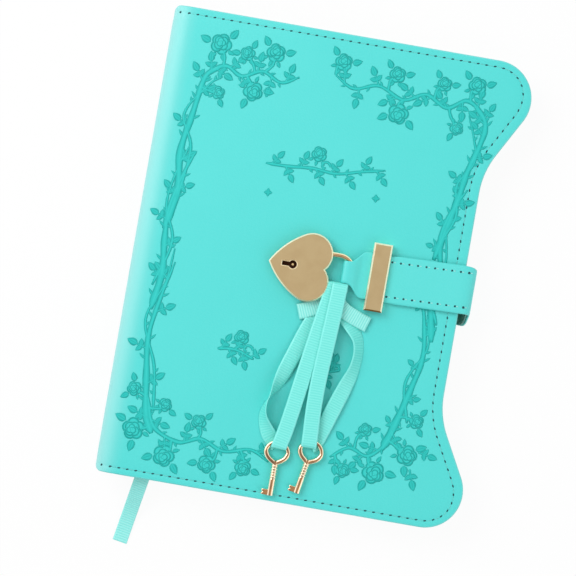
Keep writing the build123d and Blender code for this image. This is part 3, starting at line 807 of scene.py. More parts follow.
@dataclass(frozen=True)
class CoverSkin:
    """One leather-covered cover, with the spine's wrap on its left where it has one.

    The seam lies in from the head by head_stitch and from the fore edge by fore_stitch. The groove that it is
    sewn in is given as distances in from the seam and depths.
    """

    outline: Outline = Outline()
    crease: float = -74.5
    round: float = 0.8
    under_round: float = 0.5
    corner: float = 2.4
    field_inset: float = 9.0
    margin: float = 7.6
    head_stitch: float = 3.2
    fore_stitch: float = 4.6
    widening: Pair = (2.0, 24.0)
    groove: tuple = ((1.0, 0.06), (0.5, 0.10), (0.0, 0.20), (-0.5, 0.12), (-1.2, 0.10))
    rim_sink: float = 0.10
    rim_rub: float = 0.30
    # painted highlight: the cover pales over this many millimetres from the spine, as the rounded spine
    # catches light
    spine_highlight: float = 12.5
    highlight_fade: float = 1.6

    def stitch_inset(self) -> np.ndarray:
        """Inset of the seam along the fore edge, which widens round each wing.

        Returns:
            One inset per point of the edge.
        """
        points, _ = self.outline.edge(0.0)
        from_end = self.outline.half - np.abs(points[:, 1])
        return self.head_stitch + (self.fore_stitch - self.head_stitch) * smooth(from_end, *self.widening)

    def surface(
        self, left: np.ndarray, left_normal: np.ndarray, height: float, up: float, thickness: float
    ) -> Shell:
        """Closed shell of the cover.

        The face is ruled from the left profile to the fore edge. Rings then go round head, fore edge and
        tail: inwards to outwards past a shallow sewn groove, round the rim by a quarter circle, down the
        wall, and back under; the underside is the face set in by the thickness.

        Args:
            left: profile (m, 2) in x and z of the wrap left of the face, which may be empty.
            left_normal: its outward normals (m, 2).
            height: z of the face.
            up: 1 for a face that looks up, -1 for down.
            thickness: thickness of the cover.

        Returns:
            The shell.
        """
        half = self.outline.half
        seam = self.stitch_inset()
        across = np.concatenate([np.linspace(0.0, 0.06, 14), np.linspace(0.06, 1.0, 34)[1:]])
        if len(left):
            across = across[1:]

        def columns(line: np.ndarray, depth: float) -> tuple[np.ndarray, np.ndarray]:
            """Head edge (x, z) of every column up to the wing, sunk by depth, and its share of the half.

            Args:
                line: the fore edge that the columns run to.
                depth: depth below the surface.

            Returns:
                Points (m, 2), and what the round corner leaves of the half height at each.
            """
            face_x = self.crease + across * (line[0, 0] - self.crease)
            spots = np.concatenate([left, stack(face_x, height)])
            normals = np.concatenate([left_normal, stack(0 * face_x, up)])
            near = np.clip(self.corner - (spots[:, 0] - SPINE_X), 0.0, self.corner)
            drawn = self.corner - np.sqrt(self.corner**2 - near**2)
            return spots - normals * depth, 1 - drawn / half

        def face(depth: float) -> np.ndarray:
            """The middle field set in below the surface by depth.

            Args:
                depth: depth below the surface.

            Returns:
                Points of the grid.
            """
            line, _ = self.outline.edge(self.field_inset)
            sunk, share = columns(line, depth)
            outwards = (line[:, :1] - line[:1, :1]) * np.concatenate([np.zeros(len(left)), across])
            return stack(sunk[:, 0] + outwards, line[:, 1:2] * share, sunk[:, 1])

        def ring(inset_head: float, inset_fore: np.ndarray | float, depth: float) -> np.ndarray:
            """Chain round head, fore edge and tail at an inset and a depth.

            Args:
                inset_head: inset from head and tail.
                inset_fore: inset from the fore edge.
                depth: depth below the surface.

            Returns:
                Points (n, 3) of the chain.
            """
            line, _ = self.outline.edge(inset_fore)
            sunk, share = columns(line, depth)
            head = stack(sunk[:, 0], (half - inset_head) * share, sunk[:, 1])[:-1]
            fore = stack(line[:, 0], line[:, 1], height - up * depth)
            return np.concatenate([head, fore, head[::-1] * [1, -1, 1]])

        middle, under = face(0.0), face(thickness)
        # painted highlight along the spine's roll, fading away from the spine
        paling = np.clip(1 - (middle[0, :, 0] - SPINE_X) / self.spine_highlight, 0.0, 1.0) ** self.highlight_fade
        rings = [ring(inset, inset, 0.0) for inset in (self.field_inset, self.margin)]
        rings += [ring(self.head_stitch + away, seam + away, depth) for away, depth in self.groove]
        shade = [0.0] * len(rings)
        quarter = np.linspace(0.0, math.pi / 2, 7)
        for turn in quarter:
            draw = self.round * (1 - math.sin(turn))
            rings.append(ring(draw, draw, self.rim_sink + self.round * (1 - math.cos(turn))))
            shade.append(self.rim_rub * math.sin(2 * turn))
        for turn in quarter:
            draw = self.under_round * (1 - math.cos(turn))
            rings.append(ring(draw, draw, thickness - self.under_round * (1 - math.sin(turn))))
        rings.append(ring(self.field_inset, self.field_inset, thickness))
        shade += [0.0] * (len(rings) - len(shade))
        chain = np.stack(rings)
        side = np.concatenate([paling[:-1], np.zeros(len(seam)), paling[-2::-1]])
        shell = Shell()
        shell.grids(middle, paling)
        shell.grids(under[:, ::-1])
        shell.grids(chain, np.maximum(np.array(shade)[:, None], side))
        shell.face(np.concatenate([middle[:, 0], chain[1:, -1], under[::-1, 0], chain[-2::-1, 0]]))
        return shell


@dataclass
class Covers:
    """Front, spine and back skins with their stitching.

    The spine's roll is a quarter ellipse of the given width and height at the front and at the back; lead is
    the range of x where the wrap runs flat into the roll. hinge, the range of x where it would bend as the
    cover opens, is not used.
    """

    finishes: Finishes
    skin: CoverSkin = CoverSkin()
    thickness: float = 2.4
    roll: Pair = (8.2, 5.4)
    lead: Pair = (-74.52, -75.2)
    hinge: Pair = (-76.2, -72.6)
    seam_start: float = -72.4
    pitch: float = 3.9
    thread: float = 2.7
    sink: float = 0.19
    spine_thread: float = 1.6
    spine_sink: float = 0.17
    spine_stitches: Pair = (-76.3, -80.2)

    def spine_profile(self) -> tuple[np.ndarray, np.ndarray]:
        """Spine wrap from the back crease round to the front crease, as quarter ellipses and straight runs.

        Returns:
            Points (x, z) and outward normals.
        """
        wide, tall = self.roll
        turn = np.linspace(0.0, math.pi / 2, 22)
        top = stack(SPINE_X + wide - wide * np.sin(turn), COVER_TOP - tall * (1 - np.cos(turn)))
        top_normal = unit(stack(-np.sin(turn) / wide, np.cos(turn) / tall))
        wall = stack(SPINE_X, np.linspace(tall, COVER_TOP - tall, 8)[1:-1])
        lead = stack(np.linspace(*self.lead, 3), COVER_TOP)
        half = np.concatenate([lead, top])
        half_normal = np.concatenate([stack(0.0, np.ones(len(lead))), top_normal])
        low = stack(half[:, 0], COVER_TOP - half[:, 1])
        points = np.concatenate([low, wall, half[::-1]])
        normals = np.concatenate([half_normal * [1, -1], stack(-1.0, np.zeros(len(wall))), half_normal[::-1]])
        return points, normals

    def build(self) -> None:
        """Builds the wraps and the seams."""
        points, normals = self.spine_profile()
        front = self.skin.surface(points, normals, COVER_TOP, 1.0, self.thickness)
        wrap = front.piece("cover_wrap", self.finishes.skin)
        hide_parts("front_skin", "spine_skin")
        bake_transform(wrap)
        log.info("cover_wrap across book and front_cover: %d faces", len(wrap.data.polygons))
        empty = np.zeros((0, 2))
        back = self.skin.surface(empty, empty, 0.0, -1.0, self.thickness)
        place(back.piece("back_wrap", self.finishes.skin), Body.BOOK, ["back_skin"])
        self.seams(points)

    def seam_line(self) -> tuple[np.ndarray, np.ndarray]:
        """Even places and headings of the stitches, from the crease along head, fore edge and tail.

        Returns:
            Places (n, 2) and headings (n) in radians.
        """
        line, _ = self.skin.outline.edge(self.skin.stitch_inset())
        head_x = np.linspace(self.seam_start, line[0, 0], 60)[:-1]
        head = stack(head_x, self.skin.outline.half - self.skin.head_stitch)
        path = np.concatenate([head, line, head[::-1] * [1, -1]])
        spots, _, _ = evenly(path, [], self.pitch)
        ahead = np.gradient(spots, axis=0)
        return spots, np.arctan2(ahead[:, 1], ahead[:, 0])

    def seams(self, profile: np.ndarray) -> None:
        """Stitches of the front, of the back and of the spine's two ends.

        Args:
            profile: points (x, z) of the spine's wrap.
        """
        spots, heading = self.seam_line()
        for name, body, level, up in (("front_stitching", Body.FRONT, COVER_TOP - self.sink, 1.0),
                                      ("back_stitching", Body.BOOK, self.sink, -1.0)):
            seam = stitches(stack(*spots.T, level), heading, (self.pitch / 2, self.thread), up)
            place(seam.piece(name, self.finishes.thread), body)
        roll = profile[profile[:, 1] > COVER_TOP / 2]
        x = np.array(self.spine_stitches)
        y = self.skin.outline.half - self.skin.head_stitch
        z = np.interp(x, roll[:, 0], roll[:, 1]) - self.spine_sink
        ends = np.concatenate([stack(x, y, z), stack(x, -y, z)])
        spine = stitches(ends, np.zeros(len(ends)), (self.pitch / 2, self.spine_thread))
        place(spine.piece("spine_stitching", self.finishes.thread), Body.BOOK)


def stitches(
    spots: np.ndarray,
    heading: np.ndarray,
    run: Pair,
    up: float = 1.0,
    hole: tuple[float, float, float] = (0.8, 0.52, 0.6),
) -> Shell:
    """Threads lying along a seam with a needle hole at each end.

    A thread is a lens-shaped roll, its section times sin(pi t) to the power fade; a hole is a flat dish
    painted dark as the hole's shade.

    Args:
        spots: middle of each hole.
        heading: direction of the seam at each spot in radians.
        run: middle of a thread's showing run after its hole, and the length of that run.
        up: 1 where the seam looks up, -1 where it looks down.
        hole: half length, half width and slant of a hole.

    Returns:
        The shell.
    """
    half_width, half_height, lift, fade = 0.24, 0.08, 0.03, 0.35
    along = np.linspace(0.0, 1.0, 6)[:, None]
    ring = circle(6)
    girth = np.clip(np.sin(math.pi * along), 0.0, 1.0) ** fade
    lens = stack((along - 0.5) * run[1] + run[0], half_width * girth * np.cos(ring),
                 up * (half_height * girth * np.sin(ring) + lift))
    disc = np.array([0.0, 1.0, 1.0, 0.0])[:, None]
    rise = np.array([0.10, 0.03, -0.1, -0.1])[:, None]
    rim = circle(8)
    dish = stack(*turned(hole[0] * disc * np.cos(rim), hole[1] * disc * np.sin(rim), hole[2]), up * rise)
    shell = Shell()
    for form, tone in ((lens, 0.0), (dish, 1.0)):
        x, y = turned(form[..., 0], form[..., 1], heading[:, None, None])
        shell.grids(stack(x, y, form[..., 2]) + spots[:, None, None, :], tone, wrap=True)
    return shell


@dataclass
class Ornament:
    """Pressed rose-and-vine border with sprigs and stars, laid out for this cover.

    A way is a row of places in x and y, and a rose is x, y and its size. A trunk is its way, its widths at
    the start and at the end, and the length of its leaves. A branch is the side that the stalks of its roses
    bow to, 1 or -1, its way and its roses. A sprig is its way and its rose. A spray is its root in x and y,
    its angle in degrees and the length of its leaves. A thorn's length is a start and a share of the stem's
    width.
    """

    finishes: Finishes
    level: float = COVER_TOP
    lip: float = 0.34
    thorn_root: float = 0.75
    thorn_lean: float = 0.8
    thorn_length: Pair = (1.4, 0.55)
    thorn_half: float = 0.36
    trunks: tuple = (
        (((-60.6, -86.4), (-64.4, -78), (-67.4, -60), (-69.4, -42), (-66.4, -22), (-63.2, -8)),
         3.8, 0.7, 5.0),
        (((-70.6, -31), (-68.4, -14), (-69.8, 2), (-70.2, 16), (-66.2, 33), (-62.6, 43)),
         3.5, 0.7, 4.4),
        (((-71.0, 6), (-67.8, 24), (-69.6, 42), (-67.0, 60), (-64.2, 77), (-57.5, 83.2)),
         3.5, 1.6, 4.6),
        (((43.6, -76), (47.4, -64), (51.5, -48), (54.8, -31), (52.4, -14), (49.4, -4)),
         3.8, 0.7, 3.5),
        (((57.4, -24), (54.8, -8), (55.8, 8), (53.4, 24), (57.0, 38), (61.8, 47)),
         3.5, 0.7, 3.5),
        (((52.0, 13), (55.6, 30), (58.2, 42), (60.0, 54), (63.8, 68), (64.6, 78), (58.2, 85.2)),
         3.5, 1.6, 4.4),
    )
    creepers: tuple = (
        ((-61.5, -76), (-64.6, -56), (-72.0, -36), (-66.0, -18), (-64.4, -2)),
        ((-71.8, -20), (-66.2, 1), (-71.6, 17), (-69.4, 34), (-65.4, 46)),
        ((-67.4, 20), (-65.2, 44), (-70.8, 59), (-61.8, 74), (-56.5, 78.5)),
        ((52.8, -62), (49.0, -44), (56.2, -27), (53.6, -12)),
        ((58.4, -16), (53.6, -2), (57.6, 12), (55.4, 27)),
        ((53.0, 20), (58.6, 34), (56.6, 48), (62.8, 60), (60.4, 71), (56.6, 80.4)),
    )
    branches: tuple = (
        (1.0, ((-66.6, 66), (-64.0, 78), (-56, 83.6), (-48, 80.2), (-39, 84.0), (-30, 80.4), (-22, 84.2)),
         ((-59.6, 93.0, 4.7), (-47.0, 90.8, 3.2), (-34.4, 93.2, 4.2), (-41.8, 74.4, 4.4),
          (-57.2, 71.0, 2.9))),
        (-1.0, ((64.4, 70), (63.6, 80), (55, 86.8), (46, 82.0), (36, 86.4), (26, 82.2), (14, 86.6), (3, 83.4),
                (-6, 88)),
         ((58.2, 94.2, 4.0), (43.4, 92.4, 3.2), (24.8, 75.6, 4.6), (21.6, 93.0, 3.6), (-3.4, 94.4, 3.8),
          (52.0, 73.6, 3.0))),
        (1.0, ((-65.0, -70), (-60.2, -83.0), (-48, -88.2), (-38, -85.0), (-27, -88.8), (-15, -86.0),
               (-6, -90)),
         ((-69.0, -85.6, 4.9), (-53.4, -95.4, 4.8), (-40.2, -77.6, 3.3), (-33.6, -95.8, 4.0),
          (-17.0, -94.8, 3.6), (-56.6, -72.6, 3.0), (-71.6, -67.6, 3.2))),
        (-1.0, ((49.6, -56), (45.8, -71), (38, -79.6), (29, -77.4), (21, -83.0)),
         ((41.6, -86.6, 5.0), (55.2, -76.4, 4.6), (27.8, -88.0, 3.2), (57.0, -60.6, 3.2),
          (34.8, -68.2, 3.0))),
    )
    sprays: tuple = ((57.6, -82.4, -70.0, 5.0), (60.2, -74.0, -12.0, 4.6))
    sprigs: tuple = (
        (((-30.5, 43.4), (-20, 43.6), (-9, 44.6), (2, 44.0), (13, 46.8), (23.6, 49.2)), (-7.2, 51.4, 3.4)),
        (((-37.6, -43.2), (-32, -42.4), (-27, -43.0), (-20.6, -45.4)), (-27.6, -36.6, 3.3)),
        (((8.0, -43.6), (13, -45.2), (19, -43.4)), (12.6, -38.6, 2.8)),
    )
    stars: tuple = ((-27.2, 30.4), (21.4, 36.0))
    shell: Shell = field(default_factory=Shell)
    leaf_rows: list = field(default_factory=list)
    rose_rows: list = field(default_factory=list)

    def stem(self, way: Sequence[Pair], wide: float, narrow: float, thorns: bool = True) -> np.ndarray:
        """A tapering stem through the given places, as a low rounded strip along a Catmull-Rom curve.

        Args:
            way: places in x and y.
            wide: width at the start.
            narrow: width at the end.
            thorns: sets small thorns along it.

        Returns:
            Points and headings (n, 3) along the stem, as x, y and angle.
        """
        knots = np.asarray(way, float)
        knots = np.concatenate([2 * knots[:1] - knots[1:2], knots, 2 * knots[-1:] - knots[-2:-1]])
        t = np.linspace(0.0, 1.0, 9)[:-1, None]
        a, b, c, d = knots[:-3, None], knots[1:-2, None], knots[2:-1, None], knots[3:, None]
        square, cube = 2 * a - 5 * b + 4 * c - d, 3 * b - a - 3 * c + d
        curve = 0.5 * (2 * b + (c - a) * t + square * t**2 + cube * t**3)
        line = np.concatenate([curve.reshape(-1, 2), knots[-2:-1]])
        ahead = unit(np.gradient(line, axis=0))
        sideways = stack(-ahead[:, 1], ahead[:, 0])
        share = np.linspace(0.0, 1.0, len(line))
        gnarl, knots_apart, end_width, end_run = 0.14, 0.9, 0.3, 0.07
        uneven = 1 + gnarl * np.sin(share * len(line) * knots_apart)
        inside = np.minimum(smooth(share, 0.0, end_run), smooth(1 - share, 0.0, end_run))
        ends = end_width + (1 - end_width) * inside
        half = (wide + (narrow - wide) * share) / 2 * uneven * ends
        spread = half[:, None] * np.array([-1.0, -1.0, -0.62, 0.0, 0.62, 1.0, 1.0, 0.0])
        spread = spread + self.lip * np.array([-1.0, 0.0, 0.0, 0.0, 0.0, 0.0, 1.0, 0.0])
        rise = np.array([0.01, 0.05, 0.08, 0.09, 0.08, 0.05, 0.01, -0.1])
        # tones: 0 paints the outer lip light as a highlight, 1 paints the edges dark, partly die line and
        # partly painted shade
        shade = np.array([0.0, 1.0, 0.55, 0.36, 0.55, 1.0, 0.0, 0.0])
        flat = line[:, None] + sideways[:, None] * spread[..., None]
        self.shell.grids(stack(flat[..., 0], flat[..., 1], self.level + rise), shade, wrap=True, caps=True)
        angle = np.arctan2(ahead[:, 1], ahead[:, 0])
        if thorns:
            pick = np.arange(3, len(line) - 2, 4)
            sign = np.where(np.arange(len(pick)) % 2 == 0, 1.0, -1.0)
            root = line[pick] + sideways[pick] * (sign * half[pick] * self.thorn_root)[:, None]
            length = self.thorn_length[0] + wide * self.thorn_length[1]
            for (x, y), lean in zip(root, angle[pick] + sign * self.thorn_lean):
                self.leaf_rows.append((x, y, lean, length, self.thorn_half))
        return np.column_stack([line, angle])

    def leaf(self, x: float, y: float, degrees: float, length: float, half: float = 0.0) -> None:
        """One leaf from its stalk at x and y, pointing along an angle."""
        self.leaf_rows.append((x, y, math.radians(degrees), length, half or 0.31 * length))

    def spray(self, x: float, y: float, degrees: float, length: float) -> None:
        """A stalk with an end leaf and a pair of smaller side leaves.

        Args:
            x: x of its root.
            y: y of its root.
            degrees: angle that it points along.
            length: length that its leaves are shares of.
        """
        stalk, side_root = 1.02 * length, 0.56
        end_leaf, side_leaf, side_turn = 0.94, 0.64, 64
        way = [further(x, y, degrees, share * stalk) for share in (0.0, 0.5, 1.0)]
        self.stem(way, 0.6, 0.4, False)
        self.leaf(*way[-1], degrees, length * end_leaf)
        for turn in (side_turn, -side_turn):
            self.leaf(*further(x, y, degrees, side_root * stalk), degrees + turn, length * side_leaf)

    def rose(self, x: float, y: float, size: float, degrees: float) -> None:
        """A rose seen from above, with a calyx of three sepals on the side of its stem.

        Args:
            x: x of its middle.
            y: y of its middle.
            size: its radius.
            degrees: angle to its stem.
        """
        self.rose_rows.append((x, y, size, math.radians(degrees)))
        sepal_length, sepal_half, spread = 0.62, 0.15, 1.4
        for turn in (-38.0, 0.0, 38.0):
            root = further(x, y, degrees + turn, size)
            self.leaf(*root, degrees + spread * turn, size * sepal_length, size * sepal_half)

    def leaves(self) -> None:
        """All the leaves at once: half width times sin(pi t^0.75)^0.8, with a lip, crisp edges and a vein."""
        x, y, angle, length, half = np.array(self.leaf_rows).T[:, :, None, None]
        t = np.linspace(0.0, 1.0, 8)[:, None]
        spread = np.array([-1.0, -1.0, -0.78, -0.56, -0.14, 0.0, 0.14, 0.56, 0.78, 1.0, 1.0, 0.0])
        beyond = np.array([-1.0] + [0.0] * 9 + [1.0, 0.0])
        rise = np.array([0.005, 0.05, 0.06, 0.07, 0.06, 0.05, 0.06, 0.07, 0.06, 0.05, 0.005, -0.1])
        # tones: the lip is painted light as a highlight, the edges and vein dark, partly die line and partly
        # painted shade
        shade = np.array([0.0, 0.95, 0.85, 0.52, 0.52, 0.95, 0.52, 0.52, 0.85, 0.95, 0.0, 0.0])
        girth = np.clip(np.sin(math.pi * t**0.75), 0.0, 1.0) ** 0.8
        along = length * t + np.abs(beyond) * self.lip * (2 * t - 1)
        aside = (half * spread + self.lip * beyond) * girth
        east, north = turned(along, aside, angle)
        z = self.level + 0.01 + rise * (0.3 + 0.7 * girth)
        self.shell.grids(stack(x + east, y + north, z), shade, wrap=True)

    def roses(self) -> None:
        """All the roses: thirteen overlapping petals each, low discs round an off-centre bud in four turns.

        A turn is its number of petals, their distance, their size, the angle of the first and a shift.
        """
        turns = ((5, 0.50, 0.53, 0.0, 0.0), (4, 0.30, 0.43, 0.5, -0.10), (3, 0.17, 0.28, 1.1, -0.17),
                 (1, 0.0, 0.15, 0.0, -0.17))
        petals = np.concatenate([
            stack(away * np.cos(start + circle(many)) + shift, away * np.sin(start + circle(many)), wide)
            for many, away, wide, start, shift in turns])
        petal_x, petal_y, petal_size = petals.T[:, :, None, None]
        x, y, size, spin = np.array(self.rose_rows).T[:, :, None, None, None]
        ring = np.array([0.0, 0.72, 0.84, 1.0, 1.0, 0.0])[:, None]
        lip = np.array([0.0, 0.0, 0.0, 0.0, 0.8 * self.lip, 0.0])[:, None]
        rise = np.array([0.04, 0.035, 0.025, 0.015, 0.0, 0.0])[:, None]
        # tones: the lip is painted light as a highlight, petal edges dark, partly die line and partly painted
        # shade
        shade = np.array([0.34, 0.38, 0.9, 1.0, 0.0, 0.0])[:, None]
        rim = circle(14)
        radius = size * petal_size * ring + lip
        flat_x, flat_y = size * petal_x + radius * np.cos(rim), size * petal_y + radius * np.sin(rim)
        east, north = turned(flat_x, flat_y, spin)
        layer = 0.03 + 0.012 * np.arange(len(petals))[:, None, None]
        z = self.level + np.where(np.arange(len(ring))[:, None] < len(ring) - 1, layer + rise, -0.1)
        self.shell.grids(stack(x + east, y + north, z).reshape(-1, len(ring), len(rim), 3), shade, wrap=True)

    def twigs(self, line: np.ndarray, first: int, step: int, length: float) -> None:
        """Sprays to left and right of a stem in turn.

        Args:
            line: points and headings (n, 3) along the stem.
            first: number of the first point with a spray.
            step: points from one spray to the next.
            length: length that the leaves are shares of.
        """
        for number, (x, y, angle) in enumerate(line[first:-2:step]):
            side = 1 if number % 2 == 0 else -1
            lean = 52 + 7 * (number % 3)
            self.spray(x, y, math.degrees(angle) + side * lean, length)

    def branch(self, side: float, way: Sequence[Pair], blooms: Sequence[tuple[float, float, float]]) -> None:
        """A branch with its sprays and roses.

        Args:
            side: 1 or -1, the side that the stalks of its roses bow to.
            way: places along the branch.
            blooms: x, y and size of each rose.
        """
        line = self.stem(way, 1.7, 0.9)
        self.twigs(line, 6, 6, 4.8)
        bow_x, bow_y, small = 1.2, 0.8, 3.1
        for x, y, size in blooms:
            root_x, root_y = line[np.argmin(np.hypot(line[:, 0] - x, line[:, 1] - y)), :2]
            bow = ((root_x + x) / 2 + side * bow_x, (root_y + y) / 2 - side * bow_y)
            self.stem([(root_x, root_y), bow, (x, y)], 1.0, 0.8, False)
            toward = math.degrees(math.atan2(root_y - y, root_x - x))
            self.rose(x, y, size, toward)
            for turn in (115.0, -110.0) if size > small else (115.0,):
                root = further(x, y, toward + turn, 1.1 * size)
                self.leaf(*root, toward + 1.15 * turn, 0.7 * size + 1.6)

    def sprig(self, way: Sequence[Pair], bloom: tuple[float, float, float]) -> None:
        """A free sprig with one rose and a curling tendril, a spiral whose radius is 2.6 - 0.42 t.

        Args:
            way: places along its stem.
            bloom: x, y and size of its rose.
        """
        self.twigs(self.stem(way, 1.1, 0.8), 2, 5, 4.2)
        x, y, size = bloom
        self.rose(x, y, size, -100.0)
        curl = np.linspace(0.0, 4.6, 9)
        radius = 2.6 - 0.42 * curl
        middle_x, middle_y = x + 3.4, y - 5.0
        tendril = stack(middle_x + radius * np.cos(curl), middle_y + radius * np.sin(curl))
        self.stem(tendril, 0.8, 0.5, False)

    def build(self) -> None:
        """Lays out and builds the ornament as one piece on the front cover."""
        for way, wide, narrow, length in self.trunks:
            self.twigs(self.stem(way, wide, narrow), 7, 7, length)
        for way in self.creepers:
            self.stem(way, 1.1, 0.4)
        for side, way, blooms in self.branches:
            self.branch(side, way, blooms)
        for spray in self.sprays:
            self.spray(*spray)
        for way, bloom in self.sprigs:
            self.sprig(way, bloom)
        for x, y in self.stars:
            for degrees in (4, 94, 184, 274):
                self.leaf(x, y, degrees, 1.7, 0.6)
        self.leaves()
        self.roses()
        place(self.shell.piece("pressed_ornament", self.finishes.tooling), Body.FRONT)


def strip(
    path: np.ndarray,
    across: np.ndarray,
    width: np.ndarray | float,
    thickness: np.ndarray | float,
    far: np.ndarray,
    edge: Sequence[Pair],
    rib: float = 0.0,
    rise: float = 0.0,
) -> Shell:
    """A flat band carried along a path: two faces and two rounded sides, capped at both ends.

    With ribs, each face is raised by rise times cos(2 pi distance / rib) between the plain edges.

    Args:
        path: middle line (n, 3).
        across: unit vectors (n, 3) across the band.
        width: its width, one value or one per point.
        thickness: its thickness, one value or one per point.
        far: distance of each point along the band.
        edge: rounding of the sides, as distances in from the side and the share of the thickness there.
        rib: pitch of the ribs, or 0 for none.
        rise: height of the ribs.

    Returns:
        The shell, with the tone 0 on a rib and 1 between ribs.
    """
    edge_lift = 0.35
    face = unit(np.cross(unit(np.gradient(path, axis=0)), across))
    width = np.broadcast_to(width, len(path))[:, None]
    half = np.broadcast_to(thickness, len(path))[:, None] / 2
    inset, share = np.array(edge).T
    out = width / 2 - inset
    inner = out[:, -1:]
    sides = np.concatenate([-out, -inner * 0.5, inner * 0, inner * 0.5, out[:, ::-1]], 1)
    bevel = np.concatenate([share, np.ones(3), share[::-1]]) * half
    wave = np.cos(2 * math.pi * far / rib)[:, None] if rib else np.zeros((len(path), 1))
    lift = np.linspace(0.0, edge_lift, len(inset))
    ribbed = np.concatenate([lift, np.ones(3), lift[::-1]]) * wave * rise
    flat = path[:, None] + across[:, None] * sides[..., None]
    top = flat + face[:, None] * (bevel + ribbed)[..., None]
    low = flat - face[:, None] * (bevel - ribbed)[..., None]
    ring = np.concatenate([top, low[:, ::-1]], 1)
    spread = np.concatenate([sides, sides[:, ::-1], sides[:, :1]], 1) + width / 2
    shell = Shell()
    shell.grids(ring, 0.5 - 0.5 * wave, stack(far[:, None], spread), wrap=True, caps=True)
    return shell


@dataclass(frozen=True)
class Ribbon:
    """A grosgrain ribbon led by listed places.

    Each place is u from the spine edge, y, height over the cover, and the ribbon's turn and tilt in degrees:
    its across line is level at turn from the X axis, lifted by tilt.
    """

    name: str
    places: tuple
    width: float = 7.1
    thickness: float = 0.4
    sides: tuple = ((0.0, 0.7), (0.8, 1.0))
    rib: float = 1.15
    rise: float = 0.05

    def lines(self) -> tuple[np.ndarray, np.ndarray, np.ndarray]:
        """Middle line, across vectors and distances, read from two splines with the same parameter.

        Returns:
            Points (n, 3), unit vectors (n, 3) and distances (n).
        """
        beside_by = 5.0
        rows = np.array(self.places, float)
        controls = stack(SPINE_X + rows[:, 0], rows[:, 1], COVER_TOP + rows[:, 2])
        turn, tilt = np.radians(rows[:, 3]), np.radians(rows[:, 4])
        aside = stack(np.cos(turn) * np.cos(tilt), np.sin(turn) * np.cos(tilt), np.sin(tilt))
        middle = spline_points(controls)
        beside = spline_points(controls + beside_by * aside)
        path, (across,), far = evenly(middle, [beside - middle], self.rib / 4)
        ahead = unit(np.gradient(path, axis=0))
        across = across - ahead * np.sum(across * ahead, axis=1, keepdims=True)
        return path, unit(across), far

    def band(self, path: np.ndarray, across: np.ndarray, far: np.ndarray) -> Shell:
        """The ribbed strip along its lines."""
        return strip(path, across, self.width, self.thickness, far, self.sides, self.rib, self.rise)


